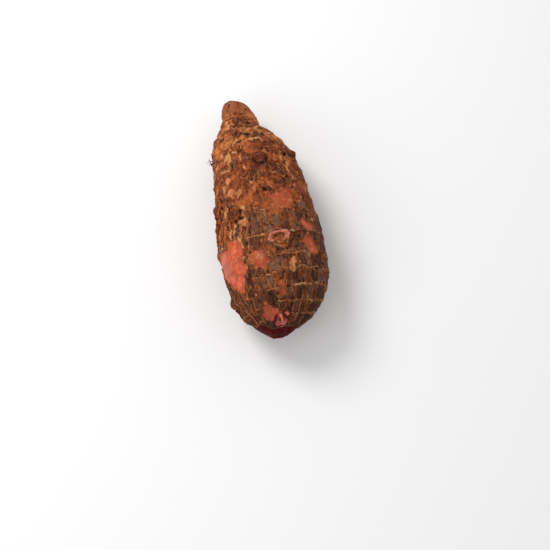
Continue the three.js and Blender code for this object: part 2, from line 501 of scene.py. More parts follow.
    def layers(self, zone, ring, band):
        """The fields of the skin's layers: each layer's is its distance in mm inside its own
        ragged edge, above nought where it is there. Then how fresh the flesh is, and the tone
        of each plate of papery skin."""
        here = self.place
        split, tone = self.split_lines(band)
        flesh, fresh = self.bare()
        gap = 0.55 + 0.4 * hump(self.along, -21, 9)
        gap = gap + 0.3 * fractal(self.fibre_space, (3, 8, 3), 2, 53)
        paper = 2.8 * (fractal(here, 9, 4, 51) - self.paper_level(zone))
        paper = np.minimum(paper, split - np.maximum(gap, 0.15))
        paper = np.minimum(paper, np.abs(ring) - 0.3 - 0.2 * fractal(here, 3, 2, 54))
        flake = fractal(here, (4, 7, 4), 4, 61) - self.flake_level(zone) + 2.1 * self.spotted(PALE_SPOTS)
        return {
            "paper": np.clip(np.minimum(paper, -0.4 - flesh), -2, 2),
            "flake": np.clip(np.minimum(flake, -0.3 - flesh), -1.5, 1.5),
            "flesh": flesh,
            "fresh": fresh,
            "tone": np.clip(tone + self.spotted(GREY_SPOTS), 0, 1.4),
        }

    def fringe(self, ring, nearest, flesh):
        """How strong the fringe on the ring scars is: in lengths with gaps between them, each
        ring's by chance stronger or weaker, and none on the shoulder and the bare flesh."""
        broken = smooth(fractal(self.fibre_space, (6, 60, 6), 2, 91), -0.5, 0.5)
        fringe = hump(ring, 0, 0.5) * broken * (1 - smooth(self.along, -15, 5) * 0.6)
        fringe = fringe * (1 - smooth(self.along, 30, 50))
        return fringe * (0.35 + 0.65 * scatter(92, nearest)) * (1 - smooth(flesh, -0.3, 0.3))

    def grow(self, skin_thickness, lump_height, strip_height):
        """Adds the fine relief along the outward direction, and fills in the fields. Each layer
        of skin rises over the one below it, where its field is above nought."""
        here, along = self.place, self.along
        zone = self.zones()
        wobble = 0.3 * fractal(here, 11, 2, 41) + 0.12 * fractal(here, 3, 2, 42)
        self.ring_place = self.ring_place + wobble * smooth(self.half_width, 4, 20)
        offsets = self.ring_place[..., None] - RINGS
        nearest = np.abs(offsets).argmin(-1)
        ring = np.take_along_axis(offsets, nearest[..., None], -1)[..., 0]
        fields = self.layers(zone, ring, np.searchsorted(RINGS, self.ring_place))
        flesh = fields["flesh"]
        fringe = self.fringe(ring, nearest, flesh)
        scar_depth, scar = self.root_scars()
        # rim is how much painted shade darkens the moats of buds.
        rim_height, rim = self.bud_rims()

        bare = smooth(flesh, -0.4, 0.4)
        lumps = fractal(here, 15, 2, 81) + 0.55 * fractal(here, 5, 2, 82)
        lumps = lumps + 0.25 * fractal(here, 2.5, 2, 83)
        strip_share = 0.2 + 0.5 * zone["left"] * smooth(-along, -14, 12) * smooth(along, -66, -54)
        strips = strip_share * fractal(self.fibre_space, (3, 22, 3), 3, 71)
        wrinkles = fractal(here, (12, 2.6, 12), 3, 98) * smooth(along, 38, 50)
        wrinkles = wrinkles * (1 - smooth(along, 66, 76))
        covered = smooth(sheath_edge(self.around) - along, -0.45, 0.45)
        height = (
            lump_height * lumps * (1 - 0.25 * zone["neck"]) * (1 - 0.6 * bare)
            + KNOLL_HEIGHT * self.spotted(KNOLLS)
            - HOLLOW_DEPTH * self.spotted(HOLLOWS)
            + skin_thickness * smooth(fields["paper"], -0.25, 0.5)
            + 0.45 * skin_thickness * smooth(fields["flake"], -0.1, 0.4)
            - 1.1 * skin_thickness * smooth(flesh, -0.3, 0.5)
            + strip_height * strips * (1 - bare)
            + FRINGE_HEIGHT * fringe
            + WRINKLE_HEIGHT * wrinkles
            + GRAIN_HEIGHT * fractal(here, 1.3, 2, 95)
            - scar_depth
            + rim_height
            + COLLAR_HEIGHT * smooth(-along, 72, 76) * (1 - covered)
        )
        height = height - covered * (height + SHEATH_DEPTH)
        # How far each place lies below the average of its neighbourhood, in mm. The skin's shader paints
        # shade into these hollows, and a painted highlight on the raised places.
        hollow = blurred(height, 3) - height
        height = height * (0.3 + 0.7 * smooth(self.half_width, 0, END_FADE))
        self.place = here + height[..., None] * outward(here, *self.ends)
        self.place[..., 2] = np.maximum(self.place[..., 2], 0)
        self.out = outward(self.place, *self.ends)
        self.fields = fields | {
            "neck": zone["neck"],
            "shoulder": zone["shoulder"],
            "tip": zone["tip"],
            "fringe": fringe,
            "hollow": hollow,
            "scar": scar,
            "rim": rim,
            "warm": self.warmth(zone),
            "murk": np.minimum(self.spotted(DARK_SPOTS), 1),
        }

    def root_scars(self):
        """Depth in mm of the round scars left by roots, and how far in mm into one each place
        is. A scar is a bowl with a low rim: a Gaussian, less a ring-shaped one round it."""
        rng = np.random.default_rng(17)
        strewn_around = rng.uniform(60, 300, STREWN_SCARS)
        strewn_along = rng.uniform(-68, 56, STREWN_SCARS)
        strewn = np.stack([strewn_along, strewn_around, rng.uniform(0.8, 1.6, STREWN_SCARS)], axis=1)
        depth = np.zeros(self.along.shape)
        inside = np.full(self.along.shape, -3.0)
        for along, around, radius in np.concatenate([ROOT_SCARS, strewn]):
            away = self.away_from(along, around) / radius
            depth += radius * (0.4 * hump(away, 0, 1) - 0.15 * np.exp(-((away - 1.35) ** 2) * 6))
            inside = np.maximum(inside, radius * (1 - away))
        return depth, inside

    def away_from(self, along, around):
        """Distance in mm over the skin from one place on it, right for places near it."""
        ahead = self.row_walked[:, None] - walked(along)
        return np.hypot(across(self.half_width, self.around, around), ahead)

    def bud_rims(self):
        """Height in mm of the moat round each bud, a Gaussian of the distance from its edge, with a bowl
        as well under the open one, and how much painted shade darkens the moat, from 0 to 1."""
        height = np.zeros(self.along.shape)
        dark = np.zeros(self.along.shape)
        for index, (along, around, radius, _) in enumerate(BUDS):
            away = self.away_from(along, around)
            moat = hump(away, MOATS.get(index, USUAL_MOAT) * radius, MOAT_WIDTH)
            height -= MOAT_DEPTH * moat
            # Painted shade in the moat, weaker round the open bud.
            dark = np.maximum(dark, moat * (0.3 if index == OPEN_BUD else 1))
            if index == OPEN_BUD:
                away = self.away_from(along + CUP_SHIFT[0], around + CUP_SHIFT[1])
                height -= CUP_BOWL[1] * np.exp(-((away / CUP_BOWL[0]) ** 4))
        return height, dark

    def sampled(self, name, along, around):
        """A field's value at the nearest place of the grid."""
        row = np.interp(-along, -self.along[:, 0], np.arange(ROWS)).round().astype(int)
        return self.fields[name][row, (around / 360 * COLUMNS).round().astype(int) % COLUMNS]

    def at(self, along, around, lift=0.0):
        """Points this far above the skin, by bilinear sampling of the grid and its two ends,
        and the skin's outward direction there."""
        along, around, lift = np.broadcast_arrays(along, around, lift)
        row = np.interp(-along, -self.all_along, np.arange(ROWS + 2))
        column = around / 360 * COLUMNS
        r = np.minimum(row.astype(int), ROWS)
        c = np.floor(column).astype(int)
        fr = (row - r)[..., None]
        fc = (column - c)[..., None]

        def blended(grid, first, last):
            whole = np.concatenate([0 * grid[:1] + first, grid, 0 * grid[:1] + last])
            left, right = c % COLUMNS, (c + 1) % COLUMNS
            upper = whole[r, left] * (1 - fc) + whole[r, right] * fc
            lower = whole[r + 1, left] * (1 - fc) + whole[r + 1, right] * fc
            return upper * (1 - fr) + lower * fr

        out = unit(blended(self.out, (0, 1, 0), (0, -1, 0)))
        return blended(self.place, *self.ends) + lift[..., None] * out, out

    def under(self, along, around, centre=None):
        """Points on the sections with their low relief but no fine relief, and the directions
        away from the middle of their section or from a centre."""
        width = self.width_at(along)
        side, rise = (np.interp(-along, -self.all_along, self.middles[:, k]) for k in (0, 1))
        aside = width * np.sin(np.radians(around))
        over = width * np.cos(np.radians(around)) * HEIGHT_TO_WIDTH
        points = np.stack([side + aside, along, rise + over], axis=-1)
        outwards = np.stack([aside, 0 * along, over], axis=-1) if centre is None else points - centre
        outwards = unit(outwards)
        return points + low_relief(along, around, width, along)[..., None] * outwards, outwards

    def ring_along(self, ring, around):
        """Where the ring scar of this index lies along, at places round the tuber."""
        crossing = np.abs(self.ring_place - RINGS[ring]).argmin(0), np.arange(COLUMNS)
        line = self.along[crossing] - (self.ring_place[crossing] - RINGS[ring])
        column = around / 360 * COLUMNS % COLUMNS
        return np.interp(column, np.arange(COLUMNS + 1), np.append(line, line[0]))


@functools.lru_cache(maxsize=1)
def grown_skin(skin_thickness, lump_height, strip_height):
    return Skin(skin_thickness, lump_height, strip_height)


def skin_of(shape):
    """The skin for these settings, worked out once."""
    return grown_skin(shape.skin_thickness, shape.lump_height, shape.strip_height)


# ---------------------------------------------------------------- meshes


def lofted(points, first, last):
    """Vertices and faces of closed shells. points is (shells, rows, columns, 3), where each row
    is a closed loop, and first and last are (shells, 3), the points that close the two ends."""
    shells, rows, columns = points.shape[:3]
    size = rows * columns + 2
    vertices = np.concatenate([first[:, None], points.reshape(shells, -1, 3), last[:, None]], axis=1)
    corner = 1 + np.arange(rows * columns).reshape(rows, columns)
    after = np.roll(corner, -1, axis=1)
    quads = np.stack([corner[:-1], corner[1:], after[1:], after[:-1]], axis=-1).reshape(-1, 4)
    start_fan = np.stack([0 * corner[0], corner[0], after[0]], axis=-1)
    end_fan = np.stack([0 * corner[0] + size - 1, after[-1], corner[-1]], axis=-1)
    offset = size * np.arange(shells)[:, None, None]
    fans = np.concatenate([start_fan, end_fan])
    faces = (quads + offset).reshape(-1, 4).tolist() + (fans + offset).reshape(-1, 3).tolist()
    return vertices.reshape(-1, 3), faces


def per_vertex(field, grid, ends):
    """A field on the points of shells, or one that fits their grid, for each vertex that lofted
    makes of them. The points that close them take the values beside them, or the two in ends."""
    parts = (3,) if np.ndim(field) == 4 else ()
    flat = np.broadcast_to(field, (*grid, *parts)).reshape(grid[0], -1, *parts)
    first, last = flat[:, :1], flat[:, -1:]
    if ends:
        first, last = (0 * first + end for end in ends)
    return np.concatenate([first, flat, last], axis=1).reshape(-1, *parts)


def add_shells(name, points, material, fields, first=None, last=None):
    """Adds one smooth piece on the root body, made of closed shells in mm, as for lofted. They
    close at first and last, or in the middle of their end rows. Each field becomes an
    attribute, and is an array or (array, first value, last value)."""
    first = points[:, 0].mean(1) if first is None else first
    last = points[:, -1].mean(1) if last is None else last
    vertices, faces = lofted(points, first, last)
    mesh = bpy.data.meshes.new(name)
    mesh.from_pydata(vertices * UNIT, [], faces)
    mesh.update()
    mesh.shade_smooth()
    attributes = {"place": vertices}
    for key, field in fields.items():
        field, *ends = field if isinstance(field, tuple) else (field,)
        attributes[key] = per_vertex(field, points.shape[:3], ends)
    for key, values in attributes.items():
        kind, slot = ("FLOAT_VECTOR", "vector") if values.ndim == 2 else ("FLOAT", "value")
        mesh.attributes.new(key, kind, "POINT").data.foreach_set(slot, values.astype(np.float32).ravel())
    mesh.materials.append(material)
    piece = bpy.data.objects.new(name, mesh)
    bpy.context.scene.collection.objects.link(piece)
    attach(piece, "root")
    return piece


# ---------------------------------------------------------------- materials


class Value:
    """A shader socket in a Python expression: each operator adds its Math node."""

    def __init__(self, shader, socket):
        self.shader = shader
        self.socket = socket

    def math(self, operation, *inputs):
        settings = {"operation": operation}
        return self.shader.node("ShaderNodeMath", settings, dict(enumerate(inputs)))

    def __add__(self, other):
        return self.math("ADD", self, other)

    def __sub__(self, other):
        return self.math("SUBTRACT", self, other)

    def __rsub__(self, other):
        return self.math("SUBTRACT", other, self)

    def __mul__(self, other):
        return self.math("MULTIPLY", self, other)

    __radd__ = __add__
    __rmul__ = __mul__


class Shader:
    """A material's node tree, with a Principled shader that its output shows."""

    def __init__(self, name, roughness=0.8, **constants):
        self.material = bpy.data.materials.new(name)
        self.material.use_nodes = True
        self.tree = self.material.node_tree
        self.surface = self.tree.nodes["Principled BSDF"]
        self.surface.inputs["Roughness"].default_value = roughness
        for socket, value in constants.items():
            self.surface.inputs[socket.replace("_", " ")].default_value = value

    def node(self, kind, settings=None, inputs=None, output=0):
        """Adds a node, sets its settings, then fills its sockets with values or links."""
        made = self.tree.nodes.new(kind)
        for key, value in (settings or {}).items():
            setattr(made, key, value)
        for key, value in (inputs or {}).items():
            if isinstance(value, Value):
                self.tree.links.new(value.socket, made.inputs[key])
            else:
                made.inputs[key].default_value = value
        return Value(self, made.outputs[output])

    def attribute(self, name, output="Fac"):
        return self.node("ShaderNodeAttribute", {"attribute_name": name}, output=output)

    @functools.cached_property
    def place(self):
        """Each point's own place on the tuber, in mm."""
        return self.attribute("place", "Vector")

    def step(self, value, low, high):
        """0 below low, 1 above high, smooth between them."""
        settings = {"interpolation_type": "SMOOTHSTEP"}
        return self.node("ShaderNodeMapRange", settings, {0: value, 1: low, 2: high})

    def noise(self, size, detail=3.0, roughness=0.55, seed=0.0, where=None):
        """Noise from 0 to 1 whose first octave has cells of this size, at each point's own
        place or at another vector."""
        settings = {"noise_dimensions": "4D"}
        inputs = {"Vector": where or self.place, "W": seed, "Scale": 1 / size, "Detail": detail}
        return self.node("ShaderNodeTexNoise", settings, inputs | {"Roughness": roughness})

    def colours(self, share, one, other):
        """Colour one where the share is 0 and the other where it is 1."""
        return self.node("ShaderNodeMix", {"data_type": "RGBA"}, {0: share, 6: one, 7: other}, 2)

    def stained(self, colour, *stains):
        """Lays tints over a colour, one after the other. Each stain is a tint, the pattern that
        it shows in, the pattern's values where it begins and is full, and a strength."""
        for tint, pattern, low, high, strength in stains:
            colour = self.colours(self.step(pattern, low, high) * strength, colour, tint)
        return colour

    def stretched(self, where, sizes):
        """A vector with each axis divided by its own size."""
        settings = {"operation": "DIVIDE"}
        return self.node("ShaderNodeVectorMath", settings, {0: where, 1: sizes})

    def drive(self, socket, value):
        self.tree.links.new(value.socket, self.surface.inputs[socket])

    def finished(self, colour, height, distance):
        """The material in this colour, bumped by a height from 0 to 1 times a distance in mm."""
        inputs = {"Strength": 1.0, "Distance": distance * UNIT, "Height": height}
        self.drive("Base Color", colour)
        self.drive("Normal", self.node("ShaderNodeBump", {}, inputs))
        return self.material


def paint(red, green, blue):
    """A linear colour with alpha from sRGB numbers up to 255."""
    values = np.array([red, green, blue]) / 255
    linear = np.where(values <= 0.04045, values / 12.92, ((values + 0.055) / 1.055) ** 2.4)
    return (*linear.tolist(), 1.0)


def colour_setting(name, description, red, green, blue):
    return FloatVectorProperty(
        name=name,
        description=description,
        default=paint(red, green, blue),
        size=4,
        min=0,
        max=1,
        subtype="COLOR",
    )


class SkinShader(Shader):
    """Cork under papery plates, pale loose skin and ring fringes, with flesh where it is bare.
    Each layer's edge is its field in mm, made ragged by fine noise, and cut off at nought."""

    def __init__(self, tints):
        super().__init__("malanga_skin", Specular_IOR_Level=0.1, Coat_Roughness=0.3)
        self.tints = tints
        fibre_space = self.attribute("fibre_space", "Vector")
        self.mottle = self.noise(5, 4, 0.6, 3)
        self.blotch = self.noise(2.2, 4, 0.6, 11)
        self.flecks = self.noise(2, 5, 0.75, 19)
        self.grain = self.noise(0.9, 3, 0.6, 7)
        self.speck = self.noise(0.75, 2, 0.5, 31)
        self.streaks = self.noise(1, 4, 0.6, where=self.stretched(fibre_space, (0.7, 5.0, 0.7)))
        self.ragged = (self.noise(1.2, 4, 0.65) - 0.5) * 1.4
        self.neck = self.attribute("neck")
        paper = self.edge("paper", 0.7)
        flake = self.edge("flake", 1.6, 0.5)
        self.bare = self.edge("flesh", 1.0, 0.25)
        colour = self.colours(paper, self.cork(), self.paper())
        colour = self.worn(self.colours(flake * 0.9, colour, self.flake()))
        colour = self.colours(self.bare, colour, self.flesh(colour))
        self.drive("Roughness", 0.85 - self.bare * 0.35 - paper * 0.2)
        self.drive("Coat Weight", self.bare * self.attribute("fresh") * 0.3)
        height = self.grain * 0.5 + self.blotch * 0.45 + self.streaks * 0.35
        height = (height + paper * 0.3 + flake * 0.2) * (1 - self.bare * 0.5) - self.bare * 0.2
        # shaded lays painted shade and painted highlights over the colour.
        self.finished(self.shaded(colour), height, 0.55)

    def edge(self, field, raggedness, softness=0.14):
        """1 inside a layer's edge and 0 outside it."""
        return self.step(self.attribute(field) + self.ragged * raggedness, -softness, softness)

    def cork(self):
        """Reddish cork that turns orange in patches, with dark blotches, fine pale fibres and
        pale grains. The neck is greyer and smoother."""
        tints = self.tints
        murk, warm = self.attribute("murk"), self.attribute("warm")
        orange = self.step(warm * 0.1 + self.mottle, 0.4, 0.68)
        cork = self.colours(orange, tints.cork_red, tints.cork_orange)
        neck = self.colours(self.step(self.mottle, 0.42, 0.6), tints.neck, tints.neck_grey)
        neck = self.stained(neck, (tints.cork_red, self.blotch, 0.44, 0.6, 0.9))
        gold = self.mottle + self.attribute("shoulder") * 0.15 - self.neck * 0.18
        dark = self.blotch + murk * 0.16 - warm * 0.03 - self.neck * 0.02
        return self.stained(
            self.colours(self.neck * 0.6, cork, neck),
            (tints.fibre, self.streaks, 0.54, 0.68, 0.55),
            (tints.gold, gold, 0.58, 0.72, 0.7),
            (tints.cork_dark, dark, 0.53, 0.64, 0.9),
            (tints.fibre, self.grain, 0.6, 0.72, 0.5),
        )

    def paper(self):
        """Dark papery skin: plates of different browns, a few of them grey, with fine streaks,
        reddish wear and dark stains."""
        tints = self.tints
        tone = self.attribute("tone")
        return self.stained(
            self.colours(self.step(tone, 0, 0.8), tints.paper_dark, tints.paper_brown),
            (tints.paper_grey, tone + self.mottle * 0.5, 1.06, 1.2, 0.8),
            (tints.cork_red, self.streaks, 0.5, 0.68, 0.6),
            (tints.cork_orange, self.mottle, 0.56, 0.7, 0.5),
            (tints.dark, self.blotch + self.attribute("murk") * 0.1, 0.54, 0.66, 0.75),
        )

    def flake(self):
        """Pale loose skin, orange in places and whiter in its driest parts."""
        tints = self.tints
        return self.stained(
            self.colours(self.step(self.blotch, 0.44, 0.6), tints.flake, tints.gold),
            (tints.cork_orange, self.mottle, 0.5, 0.64, 0.8),
            (tints.cream, self.grain, 0.52, 0.66, 0.5),
            (tints.cork_red, self.speck, 0.58, 0.66, 0.5),
        )

    def worn(self, colour):
        """The rings' pale fringes, pale specks, dark earth in the fine pores, and the dark bowls
        of root scars."""
        tints = self.tints
        colour = self.stained(
            colour,
            (tints.ring, self.attribute("fringe") * (0.4 + self.grain * 1.2), 0.3, 0.6, 0.7),
            (tints.ring, self.speck, 0.66, 0.74, 0.6),
            (tints.dark, 1 - self.grain, 0.58, 0.7, 0.7),
        )
        return self.colours(self.edge("scar", 0.4, 0.4) * 0.6, colour, tints.dark)

    def flesh(self, cork):
        """Pink flesh, redder in places and orange along its edge, with pale flecks and freckles,
        under remains of the cork where the patch isn't fresh."""
        tints = self.tints
        fresh = self.attribute("fresh")
        redder = self.mottle + (1 - fresh) * 0.15 + self.attribute("tip") * 0.12
        colour = self.stained(
            self.colours(self.step(redder, 0.34, 0.7), tints.flesh, tints.flesh_deep),
            (tints.pink, self.streaks, 0.5, 0.66, 0.2),
            (tints.pink, 1 - self.blotch, 0.5, 0.64, 0.2),
            (tints.flesh_deep, self.flecks, 0.5, 0.62, 0.6),
            (tints.cork_orange, 1 - self.attribute("flesh") * 0.6 + self.blotch, 0.9, 1.5, 0.6),
        )
        cleared = fresh + (self.blotch - 0.5) * 2.2 + (self.grain - 0.5) * 0.8
        freckles = self.speck - fresh * 0.08 + (self.mottle - 0.5) * 0.5
        return self.stained(
            self.colours(self.step(cleared, 0.3, 0.75), cork, colour),
            (tints.flesh_deep, self.blotch, 0.48, 0.6, 0.7),
            (tints.cork_orange, self.mottle, 0.48, 0.62, 0.5),
            (tints.flake, 1 - self.flecks - fresh * 0.07, 0.48, 0.58, 0.5),
            (tints.cork_red, freckles, 0.5, 0.6, 0.85),
        )

    def shaded(self, colour):
        """Painted shade in the hollows and in the moats of buds, painted highlights on raised edges, and
        painted shade that darkens the end round the tip in mottled patches, partly its own darker skin.
        """
        tints = self.tints
        on_cork = 1 - self.bare
        hollow = self.attribute("hollow") * (1 - self.bare * 0.75) * (1 - self.neck * 0.45)
        # Painted shade: darker where the skin lies below its neighbourhood. Painted highlight: paler
        # where it stands above it.
        colour = self.stained(
            colour, (tints.dark, hollow, 0, 0.32, 0.9), (tints.flake, 0 - hollow, 0.08, 0.45, 0.3)
        )
        # Painted shade: the moats of buds darkened on the cork, and the end round the tip darkened in
        # mottled patches, partly its own darker skin.
        dark = self.attribute("rim") * 0.72 * on_cork + self.attribute("tip") * (self.mottle * 1.4 - 0.1)
        return self.colours(dark * (1 - self.bare * 0.9), colour, tints.dark)


def strand_material(tints):
    """Dry fibres, each of its own tone, mottled by noise."""
    s = Shader("malanga_fibre", 0.75, Specular_IOR_Level=0.1)
    tone = s.attribute("tone") + (s.noise(2, 3) - 0.5) * 1.6
    colour = s.colours(s.step(tone, -0.1, 0.55), tints.dark, tints.fibre)
    s.drive("Base Color", s.stained(colour, (tints.ring, tone, 0.6, 1.2, 1)))
    return s.material


def flake_material(tints):
    """Loose skin, from dark brown to tan, with a fine lengthwise grain."""
    s = Shader("malanga_loose_skin", 0.8, Specular_IOR_Level=0.1)
    grain = s.noise(1, where=s.stretched(s.place, (0.5, 2.5, 0.5)))
    tone = s.attribute("tone") + (s.noise(1.5, 3) - 0.5) * 1.6
    colour = s.colours(s.step(tone, 0.0, 0.5), tints.paper_dark, tints.cork_orange)
    stains = (tints.flake, tone, 0.6, 1.1, 1), (tints.dark, grain, 0.55, 0.7, 0.6)
    return s.finished(s.stained(colour, *stains), grain, 0.25)


def scale_material(tints):
    """Bud scales: brown outside, pink towards the free edge on the fresher ones."""
    s = Shader("malanga_bud_scale", 0.65, Specular_IOR_Level=0.08)
    blotch = s.noise(1.3, 3, 0.6)
    fine = s.noise(0.6, 3)
    fresh = s.attribute("fresh")
    edge = s.attribute("edge") + (blotch - 0.5) * 0.8
    brown = s.colours(s.step(blotch, 0.38, 0.6), tints.paper_dark, tints.cork_red)
    brown = s.stained(brown, (tints.fibre, edge + fresh * 0.8, 0.8, 1.1, 0.8))
    pink = s.colours(s.step(edge + fresh, 0.9, 1.6), tints.burgundy, tints.rose)
    pink = s.stained(pink, (tints.pink, edge + fresh, 1.45, 1.9, 0.9))
    colour = s.colours(s.step(fresh + (blotch - 0.5) * 0.8, 0.28, 0.6), brown, pink)
    return s.finished(s.stained(colour, (tints.cork_dark, fine, 0.56, 0.7, 0.6)), fine, 0.2)


def cup_material(tints):
    """The open bud: pink where the wall is fresh, paler along its rim, and brown on its floor."""
    s = Shader("malanga_open_bud", 0.55, Specular_IOR_Level=0.2)
    blotch = s.noise(1.6, 4, 0.6)
    fine = s.noise(0.6, 3)
    pink = s.attribute("edge") + (blotch - 0.5) * 1.1
    colour = s.stained(
        s.colours(s.step(blotch, 0.38, 0.6), tints.cork_dark, tints.cork_orange),
        (tints.rose, pink, 0.05, 0.5, 0.85),
        (tints.pink, pink, 0.5, 1.0, 0.75),
        (tints.flake, blotch + pink * 0.1, 0.46, 0.66, 0.45),
        (tints.dark, fine, 0.6, 0.75, 0.5),
    )
    return s.finished(colour, fine, 0.2)


def sheath_material(tints):
    """The smooth wine-red leaf base that wraps the growing tip."""
    s = Shader("malanga_tip_sheath", 0.55, Specular_IOR_Level=0.04)
    blotch = s.noise(3, 4, 0.6)
    streaks = s.noise(2, 4, 0.6, where=s.attribute("fibre_space", "Vector"))
    margin = (1 - s.attribute("edge") * 12) + (streaks - 0.5)
    colour = s.stained(
        s.colours(s.step(streaks + blotch, 0.85, 1.2), tints.burgundy, tints.burgundy_pale),
        (tints.dark, s.noise(1, 3) + streaks * 0.3, 0.72, 0.86, 0.6),
        (tints.rose, margin, 0.1, 0.6, 0.4),
    )
    return s.finished(colour, streaks, 0.3)


def scar_material(tints):
    """Dry broken cork, with dark pores and a brown rim."""
    s = Shader("malanga_break_scar", 0.9, Specular_IOR_Level=0.1)
    grain = s.noise(0.9, 4, 0.6)
    colour = s.colours(s.step(grain, 0.4, 0.62), tints.cork_dark, tints.neck)
    stains = (tints.flake, grain, 0.62, 0.74, 0.6), (tints.cork_red, s.attribute("edge"), 0.65, 0.95, 0.8)
    return s.finished(s.stained(colour, *stains), grain, 0.5)


# ---------------------------------------------------------------- settings


def count_setting(name, description, default):
    return IntProperty(name=name, description=description, default=default, min=1)


class MalangaShape(bpy.types.PropertyGroup):
    """Heights of the tuber's own relief, in mm, and how many of each small thing are tried.
    Those that would lie on bare flesh, or on the flat spot, are left out."""

    skin_thickness: FloatProperty(
        name="Skin thickness", description="Step from flesh to papery skin, in mm", default=0.42
    )
    lump_height: FloatProperty(
        name="Lump height", description="Height of the fine unevenness, in mm", default=0.22
    )
    strip_height: FloatProperty(
        name="Strip height", description="Height of the raised strips on a flank, in mm", default=0.3
    )
    fibres: count_setting("Fibres", "Fibres in the lengthwise splits", 1300)
    threads: count_setting("Threads", "Threads along the ring scars", 420)
    combs: count_setting("Combs", "Short fibres that hang from the ring scars", 1700)
    flakes: count_setting("Flakes", "Small flakes of loose skin", 1500)
    strips: count_setting("Strips", "Peeling strips on the sides and the back", 46)


class MalangaColours(bpy.types.PropertyGroup):
    """Colours of skin, cork, fibres and flesh."""

    cork_red: colour_setting("Red cork", "Most of the cork under the papery skin", 130, 63, 35)
    cork_orange: colour_setting("Orange cork", "Cork where it is lighter", 172, 90, 46)
    gold: colour_setting("Golden cork", "Lightest cork, mostly on the shoulder", 204, 128, 70)
    cork_dark: colour_setting("Dark cork", "Blotches in the cork", 76, 38, 22)
    neck: colour_setting("Neck", "Smooth skin of the neck", 146, 84, 50)
    neck_grey: colour_setting("Grey neck", "Greyer patches on the neck", 160, 106, 78)
    fibre: colour_setting("Fibre", "Fibres in the splits of the skin", 182, 102, 54)
    flake: colour_setting("Flake", "Loose tan skin", 204, 140, 92)
    paper_dark: colour_setting("Dark paper", "Darkest plates of papery skin", 64, 34, 22)
    paper_brown: colour_setting("Brown paper", "Paler plates of papery skin", 106, 62, 41)
    paper_grey: colour_setting("Grey paper", "A few grey plates of papery skin", 112, 82, 64)
    ring: colour_setting("Ring", "Fringe along the ring scars, and dry specks", 212, 166, 122)
    cream: colour_setting("Cream", "Driest grains of the loose skin", 236, 192, 142)
    dark: colour_setting("Dark", "Earth and shade in the hollows", 32, 14, 8)
    flesh: colour_setting("Flesh", "Fresh bare flesh", 219, 97, 52)
    flesh_deep: colour_setting("Deep flesh", "Redder bare flesh", 170, 58, 34)
    pink: colour_setting("Pink", "Free edges of bud scales", 222, 140, 120)
    rose: colour_setting("Rose", "Fresh bud scales", 190, 92, 82)
    burgundy: colour_setting("Burgundy", "Sheath and buds", 66, 10, 13)
    burgundy_pale: colour_setting("Pale burgundy", "Lighter parts of the sheath", 94, 28, 25)


class MalangaStage(bpy.types.PropertyGroup):
    """Camera, floor and lights."""

    azimuth: FloatProperty(
        name="Azimuth",
        description="Camera's turn from looking along +Y",
        default=math.radians(-13),
        subtype="ANGLE",
    )
    elevation: FloatProperty(
        name="Elevation",
        description="Camera's height over the floor",
        default=math.radians(73),
        subtype="ANGLE",
    )
    distance: FloatProperty(name="Distance", description="Camera to its target, in mm", default=676)
    key_power: FloatProperty(
        name="Key light", description="Power of the key light", default=4.4, unit="POWER"
    )
    fill_power: FloatProperty(
        name="Fill light", description="Power of the fill light", default=0.8, unit="POWER"
    )
    sky: FloatProperty(name="Sky", description="Brightness of the world", default=0.62)


# ---------------------------------------------------------------- pieces


class MALANGA_OT_skin(bpy.types.Operator):
    """Adds the tuber with its skin, which stands for the CAD node."""

    bl_idname = "malanga.skin"
    bl_label = "Tuber and Skin"

    def execute(self, context):
        skin = skin_of(context.scene.malanga_shape)
        material = SkinShader(context.scene.malanga_colours).material
        fields = skin.fields | {"fibre_space": skin.fibre_space[None]}
        piece = add_shells(
            "malanga_skin", skin.place[None], material, fields, skin.ends[:1], skin.ends[1:]
        )
        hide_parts("malanga")
        return {"FINISHED"}


def made_once(name, make):
    """The material of this name, made from the colour settings if it isn't there yet."""
    return bpy.data.materials.get(name) or make(bpy.context.scene.malanga_colours)


def add_strands(name, paths, radius, outwards, tone, sides=4):
    """Adds strands that narrow to a point at both ends, each of its own tone. paths is (strands,
    steps, 3), radius half the width and outwards a direction that is never along the path. Each
    section is a flattened polygon square to the path."""
    forward = unit(np.gradient(paths, axis=1))
    side = unit(np.cross(forward, outwards))
    over = STRAND_FLATNESS * np.cross(side, forward)
    turn = 2 * np.pi * np.arange(sides) / sides
    spoke = np.cos(turn)[:, None] * side[:, :, None] + np.sin(turn)[:, None] * over[:, :, None]
    loops = paths[:, :, None] + radius[..., None, None] * spoke
    first = paths[:, 0] - STRAND_TIP * (paths[:, 1] - paths[:, 0])
    last = paths[:, -1] + STRAND_TIP * (paths[:, -1] - paths[:, -2])
    loops, first, last = (np.maximum(part, (-np.inf, -np.inf, 0)) for part in (loops, first, last))
    material = made_once("malanga_fibre", strand_material)
    add_shells(name, loops, material, {"tone": tone[:, None, None]}, first, last)


def lies_clear(skin, along, around):
    """Which strands lie off the bare flesh and off the flat spot that the tuber rests on."""
    on_skin, _ = skin.at(along, around)
    return (skin.sampled("flesh", along, around).max(1) < 0.3) & (on_skin[..., 2].min(1) > 0.3)


def add_fibres(name, skin, rng, places, lift, widest, profile, tones, sides=4):
    """Adds fibres that follow places on the skin, given as along and around. Each has a random
    radius between two sizes, times the profile along it, and a tone with a mean and deviation."""
    paths, outwards = skin.at(*places, lift)
    radius = rng.uniform(*widest, len(paths))[:, None] * profile
    tone = np.clip(rng.normal(*tones, len(paths)), 0, 1)
    add_strands(name, paths, radius, outwards, tone, sides)


def bell(steps):
    """Thickness along a strand, from 0.2 at its ends to 1 at its middle: a sine's power."""
    return 0.2 + 0.8 * np.sin(np.pi * (np.arange(steps) + 0.5) / steps) ** 0.7


